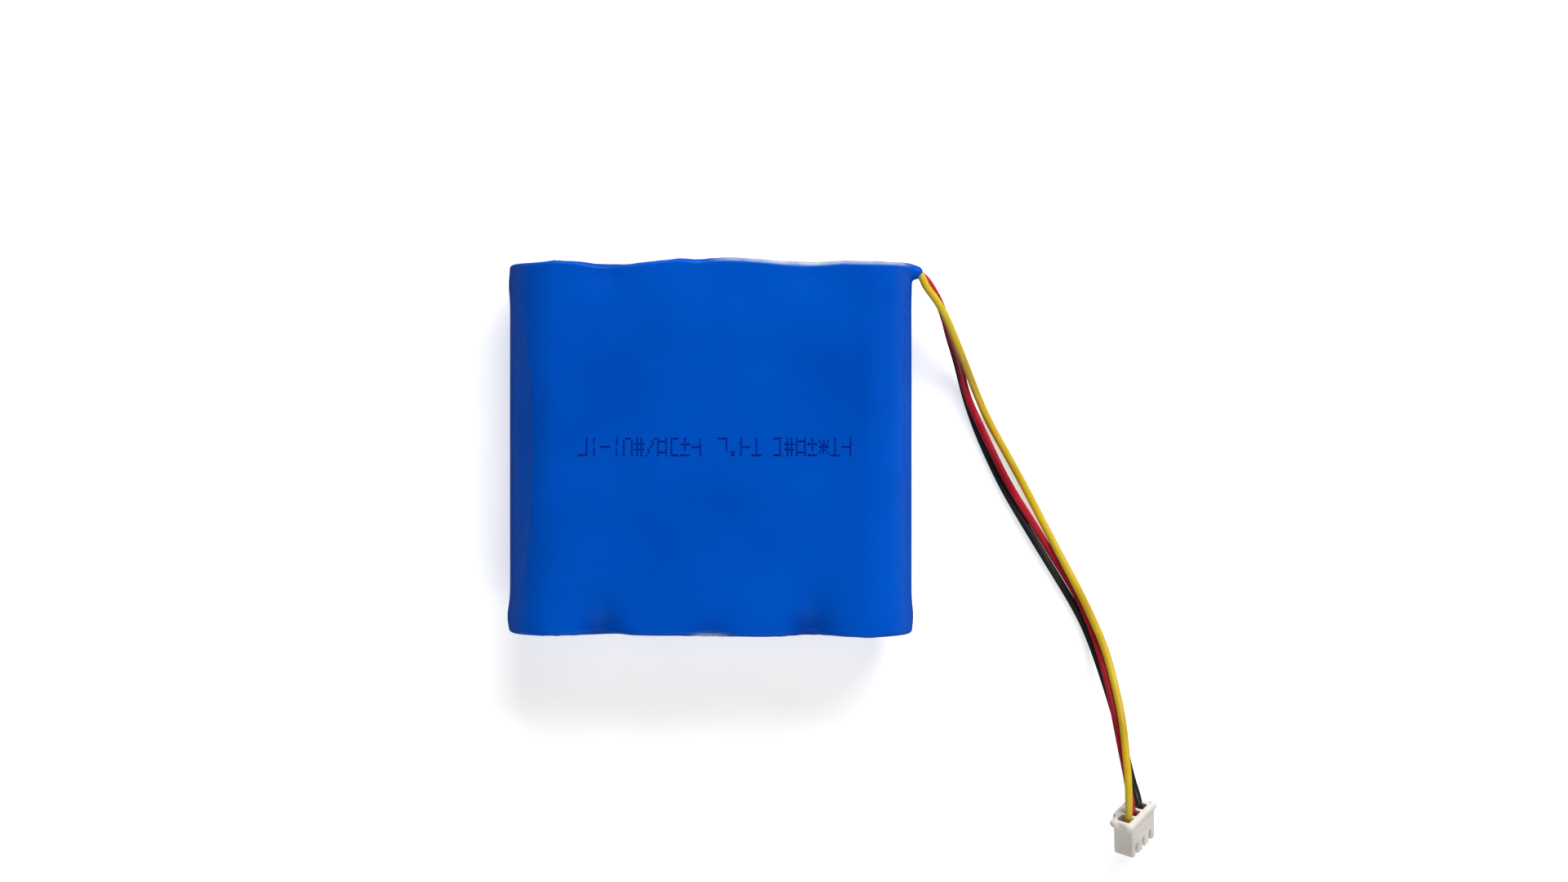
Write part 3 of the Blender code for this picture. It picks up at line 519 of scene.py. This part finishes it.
def right_groove(axis, angle, y):
    """A shallow groove along the right side, where the film's seam lies."""
    right = (axis > CORE - 0.01) & (angle < np.pi / 2)
    run = smooth_step(y, -12.0, -2.0) * (1.0 - smooth_step(y, 26.0, 31.0))
    line = np.exp(-((np.degrees(angle) - 59.0 - 0.12 * y) / 2.6) ** 2)
    return np.where(right, 0.17 * run * line, 0.0)


def end_flare(angle, y):
    """How far the round sides swell just before each end, more on the left."""
    left = np.sin(angle) < 0.0
    low = np.where(left, 0.48, 0.3) * np.exp(-((y + 34.2 - 3.2) / 2.6) ** 2)
    high = np.where(left, 0.24, 0.06) * np.exp(-((34.0 - y - 4.0) / 2.4) ** 2)
    return low + high


def film_grid():
    """The film's outside as a grid of points, and how far in from the pack's face each point is.

    Its rows go from the lower opening to the upper one, and its columns go round the pack.
    """
    axis, angle = film_columns()
    low_fold = end_fold(-1, LOW_END, axis, angle)
    high_fold = end_fold(1, TOP_END, axis, angle)
    low, high = low_fold[-1][1], high_fold[-1][1]
    none, full = np.zeros_like(axis), np.ones_like(axis)
    body = [(none, low + (high - low) * share, full) for share in body_rows()]
    inset, y, hold = (np.array(part) for part in zip(*low_fold, *body, *high_fold[::-1]))
    axis = np.broadcast_to(axis, inset.shape)
    angle = np.broadcast_to(angle, inset.shape)
    sag = sheet_sag(axis, y, angle * HALF)
    angle, facet = left_crease(axis, angle, y)
    facet = facet + right_groove(axis, angle, y)
    drawn = np.where(np.cos(angle) >= 0.0, film_sink(axis, y, 1), film_sink(axis, y, -1))
    on_side = np.abs(np.sin(angle)) ** 1.5
    sink = (drawn * (1.0 - on_side) + sag) * hold + facet - end_flare(angle, y) * on_side * hold
    radial = HALF - inset - sink
    points = np.stack((axis + radial * np.sin(angle), y, HALF + radial * np.cos(angle)), axis=-1)
    points[..., 2] = np.maximum(points[..., 2], 0.0)
    return points, inset


def tube_distance(points, path, half_width, half_height):
    """Distance to an upright oval swept along a path in plan."""
    best = np.inf
    plan = points[..., :2]
    lift = np.maximum(np.abs(points[..., 2] - HALF) - (half_height - half_width), 0.0)
    for start, stop in zip(np.array(path), np.array(path[1:])):
        span = stop - start
        share = np.clip((plan - start) @ span / (span @ span), 0.0, 1.0)
        flat = np.linalg.norm(plan - start - share[..., None] * span, axis=-1)
        best = np.minimum(best, np.hypot(flat, lift) - half_width)
    return best


def pack_distance(points):
    """Distance to the plain shape of the film with its rounded end fold."""
    across = np.maximum(np.abs(points[..., 0]) - CORE, 0.0)
    side = np.hypot(across, points[..., 2] - HALF) - HALF + EXIT_CORNER
    end = points[..., 1] - 34.45 + EXIT_CORNER
    outside = np.hypot(np.maximum(side, 0.0), np.maximum(end, 0.0))
    return np.minimum(np.maximum(side, end), 0.0) + outside - EXIT_CORNER


def blended_distance(points):
    """The pack joined to the lead exit with a soft fillet."""
    pack = pack_distance(points)
    spout = tube_distance(points, EXIT_PATH[:4], EXIT_HALF_WIDTH, EXIT_HALF_HEIGHT)
    share = np.clip(0.5 + 0.5 * (spout - pack) / EXIT_FILLET, 0.0, 1.0)
    return spout + (pack - spout) * share - EXIT_FILLET * share * (1.0 - share)


def last_crossing(distance, start, ways):
    """How far along each way the shape with this distance ends, looked for from outside inwards."""
    farthest = 8.5
    reach = np.full(len(ways), farthest)
    low = np.zeros(len(ways))
    for step in np.linspace(farthest, 0.5, 81):
        inside = distance(start + ways * step) < 0.0
        fresh = inside & (low == 0.0)
        low[fresh] = step
        reach[fresh] = step + 0.1
    for _ in range(18):
        middle = 0.5 * (low + reach)
        inside = distance(start + ways * middle[:, None]) < 0.0
        low = np.where(inside, middle, low)
        reach = np.where(inside, reach, middle)
    return low


def pull_exit(points):
    """Draws the film's corner out into the start of the lead exit."""
    start = np.array(EXIT_ROOT)
    offset = points - start
    length = np.linalg.norm(offset, axis=-1)
    near = (length < 8.0) & (points[..., 0] > 33.3) & (points[..., 1] > 26.0)
    ways = offset[near] / length[near][:, None]
    moved = last_crossing(blended_distance, start, ways) - last_crossing(pack_distance, start, ways)
    points[near] += ways * np.maximum(moved, 0.0)[:, None]
    return points


def inward_copy(points, thickness):
    """The grid moved in along its own normals."""
    round_way = np.roll(points, -1, axis=1) - np.roll(points, 1, axis=1)
    along = np.gradient(points, axis=0)
    normal = np.cross(round_way, along)
    normal /= np.maximum(np.linalg.norm(normal, axis=-1, keepdims=True), 1e-9)
    core = (np.clip(points[..., 0], -CORE, CORE), points[..., 1] * 0.9, np.full(points.shape[:-1], HALF))
    middle = np.stack(core, axis=-1)
    facing = np.sign(np.sum(normal * (points - middle), axis=-1, keepdims=True))
    return points - normal * facing * thickness


def paint(piece, name, values):
    """Gives each point of a piece a value that its material reads."""
    layer = piece.data.attributes.new(name, "FLOAT", "POINT")
    layer.data.foreach_set("value", values.reshape(-1).astype(np.float32))


def build_film(material):
    """The film as a closed shell: its outside with the exit drawn out, and a plainer inside."""
    plain, inset = film_grid()
    inner = inward_copy(plain, FILM_WALL)
    outer = pull_exit(plain.copy())
    rows, columns = inset.shape
    edge = LIP_STEPS + CORNER_STEPS + 1
    middle = np.linspace(edge, rows - 1 - edge, INNER_ROWS).astype(int)
    kept = sorted({*range(edge), *middle, *range(rows - edge, rows)}, reverse=True)
    rings = np.concatenate((outer, inner[kept]))
    faces = grid_faces(len(rings), columns, along=True)
    film = mesh_object("shrink_film", rings.reshape(-1, 3), faces, material)
    inside = np.zeros((len(kept), columns))
    # Pale stretch whitening with painted highlights, and painted shade in the end dimples, for the film's
    # material to read.
    paint(film, "wear_and_highlight", np.concatenate((film_wear_and_highlight(outer, inset), inside)))
    paint(film, "dimple_shade", np.concatenate((film_dimple_shade(outer), inside)))
    paint(film, "lip", np.concatenate((smooth_step(inset, 0.9, 2.4), inside)))
    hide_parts("heat_shrink_film")
    return film


def film_dimple_shade(points):
    """Painted shade: darker blue in the dimples at the film's ends, where the film is drawn in."""
    x, y, z = np.moveaxis(points, -1, 0)
    dimple_shade = np.zeros_like(x)
    for dimples, end in ((TOP_DIMPLES, 1.0), (LOW_DIMPLES, -1.0)):
        for place, deep, wide, reach in dimples:
            across = np.exp(-((x - place + 1.1) / (0.8 * wide)) ** 2)
            dimple_shade += deep * across * np.exp(-((32.6 - end * y) / (0.5 * reach)) ** 2)
    return np.clip(0.32 * dimple_shade, 0.0, 1.0) * smooth_step(np.abs(z - HALF), 4.0, 6.5)


def film_wear_and_highlight(points, inset):
    """Where the film is painted pale.

    That is faint stretch whitening along its end folds, and a painted highlight strongly along the upper
    right one and in a patch at the middle of the lower one.
    """
    x, y, z = np.moveaxis(points, -1, 0)
    fold = 0.07 * np.exp(-((inset - 0.9) / 0.7) ** 2) * smooth_step(inset, 0.02, 0.5)
    fold *= smooth_step(wobble(x, y, z, 6.0), -0.3, 0.6)
    ridge = (1.0 - smooth_step(inset, 1.0, 1.9)) * smooth_step(z, HALF + 0.3, HALF + 4.5)
    along = smooth_step(x, -1.0, 7.0) * (1.0 - smooth_step(x, 34.5, 37.5))
    # Painted highlight along the upper right fold.
    band = ridge * along * smooth_step(end_reach(x, END_HEIGHT, TOP_END) - y, 0.85, 0.4)
    band *= 0.6 + 0.3 * smooth_step(wobble(x, 7.0, 0.0, 5.0), -0.4, 0.4)
    # Painted highlight in a patch at the middle of the lower fold.
    patch = 0.6 * ridge * smooth_step(end_reach(x, END_HEIGHT, LOW_END) + y, 0.8, 0.3)
    patch *= np.exp(-(x / 2.9) ** 4)
    return np.clip(np.maximum(fold, np.maximum(band, patch)), 0.0, 1.0)


def surface_height(x, y):
    """Height of the film's upper face."""
    return 2.0 * HALF - film_sink(x, y, 1) - sheet_sag(x, y, 0.0)


# Dot-matrix symbols, each as seven rows of five dots.
MARKS = {
    "foot": ("00001", "00001", "00001", "00001", "00001", "00001", "11111"),
    "broken": ("00100", "00100", "00100", "00000", "00100", "00100", "00100"),
    "minus": ("00000", "00000", "00000", "11111", "00000", "00000", "00000"),
    "arch": ("01110", "10001", "10001", "10001", "10001", "10001", "10001"),
    "hash": ("01010", "01010", "11111", "01010", "11111", "01010", "01010"),
    "ladder": ("10001", "11111", "10001", "10001", "10001", "11111", "10001"),
    "left": ("01111", "01000", "01000", "01000", "01000", "01000", "01111"),
    "right": ("11110", "00010", "00010", "00010", "00010", "00010", "11110"),
    "hold": ("00001", "00001", "00001", "11111", "00001", "00001", "00001"),
    "side": ("10000", "10000", "10000", "11111", "10000", "10000", "10000"),
    "stand": ("00100", "00100", "00100", "00100", "00100", "00100", "11111"),
    "turn": ("11111", "00001", "00001", "00001", "00001", "00000", "00000"),
    "stop": ("00000", "00000", "00000", "00000", "00000", "01100", "01100"),
    "either": ("00100", "00100", "11111", "00100", "00100", "00000", "11111"),
    "slant": ("00001", "00010", "00010", "00100", "01000", "01000", "10000"),
    "star": ("00000", "10101", "01110", "11111", "01110", "10101", "00000"),
}
# Each group of symbols on the line: where it starts, and its symbols.
MARK_LINE = [
    (-23.75, "foot broken minus broken arch hash slant ladder left either hold"),
    (1.6, "turn stop side stand"),
    (11.7, "right hash ladder either star stand hold"),
]
MARK_TOP = 1.72
SYMBOL_STEP = 2.06
DOT_STEP = (0.37, 0.5)
DOT_RADII = (0.185, 0.24)
DOT_CORNERS = 10
# Rings of a dot's pad: share of its size, and height above the film.
DOT_RINGS = ((1.0, -0.02), (1.0, 0.006), (0.8, 0.011))


def dot_pad(x, y, size):
    """Points of one dot: a low pad with a rounded edge that follows the film."""
    turn = np.arange(DOT_CORNERS) * 2.0 * np.pi / DOT_CORNERS
    across = DOT_RADII[0] * size * np.cos(turn)
    up = DOT_RADII[1] * size * np.sin(turn)
    height = surface_height(x + across, y + up)
    points = []
    for share, lift in DOT_RINGS:
        points += zip(x + share * across, y + share * up, height + lift)
    return points


def printed_marks(material):
    """A line of dot-matrix symbols in thin ink, a little uneven from dot to dot."""
    spread = np.random.default_rng(7)
    points, faces = [], []
    for start, names in MARK_LINE:
        for place, name in enumerate(names.split()):
            for row, line in enumerate(MARKS[name]):
                for column, dot in enumerate(line):
                    shift = spread.normal(0.0, 0.02, 3)
                    if dot == "0":
                        continue
                    x = start + SYMBOL_STEP * place + DOT_STEP[0] * column + shift[0]
                    y = MARK_TOP - DOT_STEP[1] * row + shift[1] - 0.0018 * (x - start)
                    base = len(points)
                    points += dot_pad(x, y, 1.0 + 2.0 * shift[2])
                    pad_faces = capped(len(DOT_RINGS), DOT_CORNERS)
                    faces += [tuple(base + k for k in face) for face in pad_faces]
    return mesh_object("printed_marks", points, faces, material)


# --------------------------------------------------- exit sleeve, end papers


# Rings of the spout, from inside the pack to its mouth and back in along its inside: share of the way
# along EXIT_PATH, half width, half height, and how much of the mouth's unevenness it has.
SPOUT_RINGS = (
    (0.28, 1.16, 2.72, 0.0), (0.4, 1.15, 2.7, 0.0), (0.52, 1.13, 2.66, 0.0), (0.64, 1.09, 2.6, 0.0),
    (0.76, 1.02, 2.54, 0.0), (0.88, 0.91, 2.47, 0.0), (0.96, 0.86, 2.43, 0.5), (1.0, 0.83, 2.4, 1.0),
    (1.0, 0.78, 2.34, 1.0), (0.96, 0.75, 2.29, 0.5), (0.84, 0.75, 2.27, 0.0),
)
SPOUT_MOUTH = 7  # the ring at the mouth's outer edge
SPOUT_COLUMNS = 56


def exit_path_at(share):
    """Place and heading at a share of the way along the exit's path in plan."""
    line = np.array(EXIT_PATH)
    travelled = distances_along(line)

    def place_at(part):
        return np.array([np.interp(part * travelled[-1], travelled, line[:, k]) for k in (0, 1)])

    ahead = place_at(min(share + 0.06, 1.0)) - place_at(max(share - 0.06, 0.0))
    return place_at(share), ahead / np.linalg.norm(ahead)


def sleeve_ring(share, half_width, half_height):
    """An upright oval round the three stacked leads, drawn in a little between them."""
    place, way = exit_path_at(share)
    turn = 2.0 * np.pi * np.arange(SPOUT_COLUMNS) / SPOUT_COLUMNS
    straight = half_height - half_width
    z = straight * np.tanh(2.4 * np.sin(turn)) / np.tanh(2.4) + half_width * np.sin(turn)
    between = np.where(np.abs(z) < 1.5, 0.5 - 0.5 * np.cos(2.0 * np.pi * z / 1.5), 0.0)
    side = half_width * (1.0 - 0.07 * share * between) * np.cos(turn)
    return np.stack((place[0] - way[1] * side, place[1] + way[0] * side, HALF + z), axis=1)


def exit_sleeve(material):
    """The shrunk spout of film round the leads, closed inside and open at its mouth."""
    points = np.array([sleeve_ring(*ring[:3]) for ring in SPOUT_RINGS])
    mouth = 0.05 * wobble(*(3.0 * points[SPOUT_MOUTH].T), 2.5)
    pull = np.array([ring[3] for ring in SPOUT_RINGS])[:, None]
    points[..., 0] += 0.9 * mouth * pull
    points[..., 1] -= 0.44 * mouth * pull
    faces = capped(len(SPOUT_RINGS), SPOUT_COLUMNS)
    sleeve = mesh_object("exit_sleeve", points.reshape(-1, 3), faces, material)
    for name in ("wear_and_highlight", "dimple_shade", "lip"):
        paint(sleeve, name, np.zeros(points.shape[:2]))
    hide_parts("lead_exit_sleeve")
    return sleeve


def paper_face(x, dz, end):
    """How far along Y an end paper's outer face lies: under the film, and over what lies behind it."""
    knots = TOP_END if end > 0 else LOW_END
    under = end_reach(x, HALF + np.maximum(np.abs(dz), 3.6), knots) - FILM_WALL - 0.035
    if end < 0:
        return np.minimum(np.clip(under, 33.93, 34.05), under + FILM_WALL - 0.03)
    middle = 33.98 + 0.3 * smooth_step(x, 7.0, 11.5)
    over_leads = middle - 0.06 - 0.115 * smooth_step(x, 31.0, 32.2)
    face = np.minimum(under, middle)
    return np.where(np.abs(dz) < 2.35, np.maximum(face, over_leads), face)


def end_paper(name, node, end, material):
    """Insulating paper behind the film's oval opening, bent over what lies under it."""
    half_x, half_z = (32.6, 5.75) if end < 0 else (32.8, 5.9)
    x, dz = np.meshgrid(np.linspace(-half_x, half_x, 100), np.linspace(-half_z, half_z, 25))
    corner = np.maximum(np.abs(x) - (half_x - 4.5), 0.0)
    dz = dz * np.sqrt(np.clip(1.0 - (corner / 4.7) ** 2, 0.08, 1.0))
    face = paper_face(x, dz, end) + 0.012 * wobble(x, 0.0, dz, 4.0)
    front = np.stack((x, end * face, HALF + dz), axis=-1)
    back = np.stack((x, end * (face - PAPER_THICKNESS), HALF + dz), axis=-1)
    rows, columns = x.shape
    count = rows * columns
    faces = grid_faces(rows, columns, around=False)
    faces += [tuple(count + k for k in reversed(face)) for face in faces]
    rim = [*range(columns), *(r * columns + columns - 1 for r in range(1, rows)),
           *((rows - 1) * columns + c for c in range(columns - 2, -1, -1)),
           *(r * columns for r in range(rows - 2, 0, -1))]
    faces += [(a, b, count + b, count + a) for a, b in zip(rim, rim[1:] + rim[:1])]
    points = np.concatenate((front.reshape(-1, 3), back.reshape(-1, 3)))
    paper = mesh_object(name, points, faces, material)
    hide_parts(node)
    return paper


# --------------------------------------------------------------- leads, plug


def lead(colour, material):
    """A free lead: one smooth curve from inside the sleeve to its way in the plug."""
    line, length = natural_spline(LEAD_ROUTES[colour], 150)
    curve = bpy.data.curves.new(f"free_lead_{colour}", "CURVE")
    curve.dimensions = "3D"
    curve.bevel_depth = LEAD_RADIUS * MM
    curve.bevel_resolution = 6
    curve.use_fill_caps = True
    spline = curve.splines.new("POLY")
    spline.points.add(len(line) - 1)
    spline.points.foreach_set("co", np.column_stack((line * MM, np.ones(len(line)))).reshape(-1))
    spline.use_smooth = True
    curve.materials.append(material)
    made = new_object(f"free_lead_{colour}", curve)
    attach(made, "root")
    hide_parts(f"lead_{colour}")
    return made, line, length


def box_mesh(low, high):
    """A box between two corners in the plug's own frame, as a bmesh."""
    body = bmesh.new()
    centre = (Vector(low) + Vector(high)) / 2
    size = Vector(high) - Vector(low)
    place = Matrix.Translation(centre) @ Matrix.Diagonal((*size, 1.0))
    bmesh.ops.create_cube(body, size=1.0, matrix=place)
    return body


def scratch(name, body):
    """A working object, in millimetres, that a Boolean takes in or cuts away."""
    mesh = bpy.data.meshes.new(name)
    body.to_mesh(mesh)
    body.free()
    return new_object(name, mesh)


def rounded_box(name, low, high, radius):
    body = box_mesh(low, high)
    corners = body.edges[:] + body.verts[:]
    bmesh.ops.bevel(body, geom=corners, offset=radius, segments=3, profile=0.5, affect="EDGES")
    return scratch(name, body)


def ellipsoid(name, centre, size):
    body = bmesh.new()
    place = Matrix.Translation(centre) @ Matrix.Diagonal((*size, 1.0))
    bmesh.ops.create_uvsphere(body, u_segments=24, v_segments=16, radius=1.0, matrix=place)
    return scratch(name, body)


def settle(target):
    """Applies the target's modifiers to its mesh."""
    shown = target.evaluated_get(bpy.context.evaluated_depsgraph_get())
    mesh = bpy.data.meshes.new_from_object(shown)
    target.modifiers.clear()
    target.data = mesh
    return mesh


def combine(target, tool, operation):
    change = target.modifiers.new("join", "BOOLEAN")
    change.operation = operation
    change.solver = "EXACT"
    change.object = tool
    settle(target)
    bpy.data.objects.remove(tool)


# Ears at the corners of the plug's wire end, and a notch between them on each side: centre, half sizes.
PLUG_EARS = (
    ((-3.9, 1.65, 2.92), (0.82, 1.08, 0.84)), ((-3.95, -1.2, 2.85), (0.74, 1.05, 0.88)),
    ((4.45, -1.4, 3.1), (0.75, 1.0, 0.85)), ((4.4, 1.6, 3.1), (0.72, 1.1, 0.85)),
)
PLUG_NOTCHES = (((-4.95, 0.25, 2.7), (0.62, 0.42, 1.7)), ((5.3, 0.1, 2.9), (0.62, 0.42, 1.7)))


def plug_housing(material):
    """The moulded housing: a rim with rounded ears round the wire end, three ways and three side slots."""
    body = rounded_box("housing", (-4.0, -2.1, -3.65), (4.3, 2.05, 3.5), 0.35)
    combine(body, rounded_box("rim", (-4.3, -2.18, 2.15), (4.65, 2.5, 3.7), 0.5), "UNION")
    combine(body, rounded_box("rib", (-2.6, 1.7, 0.9), (4.45, 3.05, 3.95), 0.45), "UNION")
    for centre, size in PLUG_EARS:
        combine(body, ellipsoid("ear", centre, size), "UNION")
    for centre, size in PLUG_NOTCHES:
        combine(body, ellipsoid("notch", centre, size), "DIFFERENCE")
    for way in (-WAY_PITCH, 0.0, WAY_PITCH):
        cuts = (
            rounded_box("way", (way - 0.95, -1.02, -2.3), (way + 0.95, 1.5, 5.0), 0.3),
            rounded_box("contact", (way - 0.6, -0.8, -5.0), (way + 0.6, 0.8, 0.5), 0.12),
            rounded_box("slot", (way - 0.55, -3.0, -5.0), (way + 0.55, -0.7, -1.05), 0.25),
        )
        for cut in cuts:
            combine(body, cut, "DIFFERENCE")
    remesh = body.modifiers.new("even", "REMESH")
    remesh.mode = "VOXEL"
    remesh.voxel_size = 0.085
    soft = body.modifiers.new("soft", "SMOOTH")
    soft.factor = 0.5
    soft.iterations = 8
    settle(body)
    thin = body.modifiers.new("thin", "DECIMATE")
    thin.ratio = 0.3
    settle(body)
    turn = PLUG_TURN.to_matrix()
    points = [PLUG_CENTRE + turn @ vertex.co for vertex in body.data.vertices]
    faces = [tuple(face.vertices) for face in body.data.polygons]
    bpy.data.objects.remove(body)
    housing = mesh_object("plug_housing", points, faces, material)
    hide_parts("connector_housing")
    return housing


# -------------------------------------------------------------------- build


# Finish of each slot inside the film: material name, three tones, noise scale, roughness range, the rest.
INNER_FINISHES = {
    "can_steel": (
        "can_steel_plated", ((0.42, 0.42, 0.43), (0.55, 0.55, 0.56), (0.66, 0.66, 0.67)),
        300.0, (0.22, 0.38), {"metal": 1.0, "stretch": (1.0, 0.08, 1.0)}),
    "cap_steel": (
        "cap_steel_pressed", ((0.5, 0.49, 0.47), (0.63, 0.62, 0.6), (0.72, 0.71, 0.69)),
        600.0, (0.2, 0.36), {"metal": 1.0}),
    "electrode_roll": (
        "electrode_foil", ((0.1, 0.06, 0.04), (0.2, 0.12, 0.07), (0.3, 0.2, 0.12)),
        800.0, (0.4, 0.6), {"metal": 0.6}),
    "gasket": (
        "gasket_nylon", ((0.5, 0.5, 0.47), (0.62, 0.62, 0.59), (0.7, 0.7, 0.67)),
        500.0, (0.4, 0.55), {}),
    "washer_paper": (
        "washer_paper", ((0.5, 0.48, 0.42), (0.64, 0.62, 0.56), (0.72, 0.7, 0.64)),
        1400.0, (0.75, 0.9), {"bump": 0.00005}),
    "cell_sleeve": (
        "cell_sleeve_film", ((0.03, 0.2, 0.12), (0.04, 0.27, 0.16), (0.06, 0.33, 0.2)),
        250.0, (0.3, 0.42), {}),
    "nickel": (
        "nickel_strip_rolled", ((0.52, 0.49, 0.44), (0.64, 0.61, 0.56), (0.74, 0.71, 0.66)),
        700.0, (0.24, 0.42), {"metal": 1.0, "stretch": (0.1, 1.0, 1.0)}),
    "circuit_board": (
        "circuit_board_mask", ((0.01, 0.07, 0.02), (0.015, 0.11, 0.035), (0.03, 0.15, 0.05)),
        900.0, (0.25, 0.4), {}),
    "chip_mould": (
        "chip_mould_epoxy", ((0.01, 0.01, 0.011), (0.018, 0.018, 0.02), (0.03, 0.03, 0.032)),
        3000.0, (0.5, 0.7), {}),
    "chip_ceramic": (
        "chip_ceramic_fired", ((0.2, 0.14, 0.09), (0.3, 0.21, 0.14), (0.38, 0.28, 0.19)),
        2500.0, (0.4, 0.6), {}),
    "tap_wire": (
        "tap_wire_cover", ((0.5, 0.5, 0.5), (0.6, 0.6, 0.6), (0.7, 0.7, 0.7)),
        900.0, (0.35, 0.5), {}),
    "thermistor_epoxy": (
        "thermistor_epoxy_dipped", ((0.01, 0.01, 0.01), (0.02, 0.02, 0.02), (0.04, 0.04, 0.04)),
        900.0, (0.2, 0.35), {}),
    "thermistor_wire": (
        "thermistor_wire_cover", ((0.45, 0.35, 0.05), (0.58, 0.46, 0.08), (0.66, 0.55, 0.12)),
        900.0, (0.35, 0.5), {}),
    "silicone": (
        "silicone_glue_cured", ((0.55, 0.55, 0.52), (0.66, 0.66, 0.63), (0.74, 0.74, 0.71)),
        400.0, (0.35, 0.55), {"bump": 0.0001}),
    "terminal_tin": (
        "terminal_tin_plate", ((0.5, 0.49, 0.46), (0.66, 0.65, 0.62), (0.76, 0.75, 0.72)),
        1500.0, (0.3, 0.45), {"metal": 1.0}),
}


def slot_finishes():
    """The material of each slot, by the slot's name."""
    finishes = {}
    for slot, (name, tones, scale, roughness, more) in INNER_FINISHES.items():
        finishes[slot] = surface(name, tones, scale, roughness, **more)
    for colour, (tones, specular) in LEAD_TONES.items():
        finishes[f"lead_{colour}_cover"] = lead_material(f"lead_{colour}_pvc", tones, specular)
    finishes["insulating_paper"] = paper_material()
    finishes["plug_nylon"] = nylon_material()
    finishes["film"] = film_material()
    return finishes


def dress_frame(finishes):
    """Gives each CAD node the procedural finish of its slot."""
    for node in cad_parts.values():
        for slot in node.material_slots:
            name = slot.material.name.split(".")[0] if slot.material else ""
            if name in finishes:
                slot.material = finishes[name]


def area_light(name, place, target, size, power):
    lamp = bpy.data.lights.new(name, "AREA")
    lamp.shape = "RECTANGLE"
    lamp.size, lamp.size_y = size
    lamp.energy = power
    made = new_object(name, lamp)
    made.location = place
    made.rotation_euler = (Vector(target) - Vector(place)).to_track_quat("-Z", "Y").to_euler()


# Grey of the world's light by height, from level to straight up, and the grey the camera sees instead.
WORLD_RAMP = ((0.0, 0.03), (0.3, 0.06), (0.6, 0.16), (0.82, 0.0))
WORLD_SEEN = 0.6
# The studio is in metres. The floor lies just under the table plane.
FLOOR_REACH = 4.0
FLOOR_LEVEL = -0.00005
CAMERA_PLACE = (0.0135, 0.00128, 0.5)
CAMERA_LENS = 60.96


def floor_material():
    """A near-white floor that gives off some light, so that it stays pale."""
    n = Nodes("studio_floor")
    grain = n.noise(60.0, 2.0)
    colour = n.tones(grain, [(0.3, (0.8, 0.8, 0.8)), (0.7, (0.82, 0.82, 0.82))])
    n.tree.links.new(colour, n.shader.inputs["Emission Color"])
    rough = n.spread(grain, 0.3, 0.7, 0.85, 0.95)
    return n.finish(colour, rough, Specular_IOR_Level=0.1, Emission_Strength=0.62)


def studio_floor():
    mesh = bpy.data.meshes.new("floor")
    corners = [(-1, -1), (1, -1), (1, 1), (-1, 1)]
    points = [(x * FLOOR_REACH, y * FLOOR_REACH, FLOOR_LEVEL) for x, y in corners]
    mesh.from_pydata(points, [], [(0, 1, 2, 3)])
    mesh.materials.append(floor_material())
    floor = new_object("floor", mesh)
    floor.visible_glossy = False


def studio_world():
    """Light that is brightest part of the way up and dark overhead, seen by the camera as one grey."""
    world = bpy.data.worlds.new("studio")
    bpy.context.scene.world = world
    world.use_nodes = True
    tree = world.node_tree
    place = tree.nodes.new("ShaderNodeTexCoord")
    parts = tree.nodes.new("ShaderNodeSeparateXYZ")
    ramp = tree.nodes.new("ShaderNodeValToRGB")
    seen = tree.nodes.new("ShaderNodeMix")
    by_camera = tree.nodes.new("ShaderNodeLightPath").outputs["Is Camera Ray"]
    background = tree.nodes["Background"]
    tree.links.new(place.outputs["Generated"], parts.inputs[0])
    tree.links.new(parts.outputs["Z"], ramp.inputs["Fac"])
    seen.data_type = "RGBA"
    tree.links.new(by_camera, seen.inputs[0])
    tree.links.new(ramp.outputs["Color"], seen.inputs[6])
    seen.inputs[7].default_value = (WORLD_SEEN, WORLD_SEEN, WORLD_SEEN, 1.0)
    tree.links.new(seen.outputs[2], background.inputs["Color"])
    background.inputs["Strength"].default_value = 1.0
    line = ramp.color_ramp
    while len(line.elements) < len(WORLD_RAMP):
        line.elements.new(0.5)
    for element, (height, grey) in zip(line.elements, WORLD_RAMP):
        element.position = height
        element.color = (grey, grey, grey, 1.0)


def studio():
    """Pale floor, the world's light, and soft lamps beyond the top and the bottom of the picture."""
    studio_floor()
    studio_world()
    middle = (0.02, 0.0, 0.0)
    area_light("key", (0.26, 0.64, 0.5), middle, (0.8, 0.4), 10.2)
    area_light("front", (0.14, -0.68, 0.52), middle, (0.9, 0.4), 4.2)


def camera():
    made = new_object("camera", bpy.data.cameras.new("camera"))
    made.data.sensor_width = 36.0
    made.data.lens = CAMERA_LENS
    made.data.clip_start = 0.01
    made.location = CAMERA_PLACE
    bpy.context.scene.camera = made


def build():
    finishes = slot_finishes()
    dress_frame(finishes)
    camera()
    leads = {colour: lead(colour, finishes[f"lead_{colour}_cover"]) for colour in LEAD_ROUTES}
    build_film(finishes["film"])
    printed_marks(surface("mark_ink", INK_TONES, 1500.0, (0.3, 0.4), Specular_IOR_Level=0.1))
    sleeve = exit_sleeve(finishes["film"])
    end_paper("end_paper_upper", "board_cover_paper", 1, finishes["insulating_paper"])
    end_paper("end_paper_lower", "insulator_board_bottom", -1, finishes["insulating_paper"])
    housing = plug_housing(finishes["plug_nylon"])
    studio()
    bpy.context.scene.view_settings.view_transform = "Standard"


build()
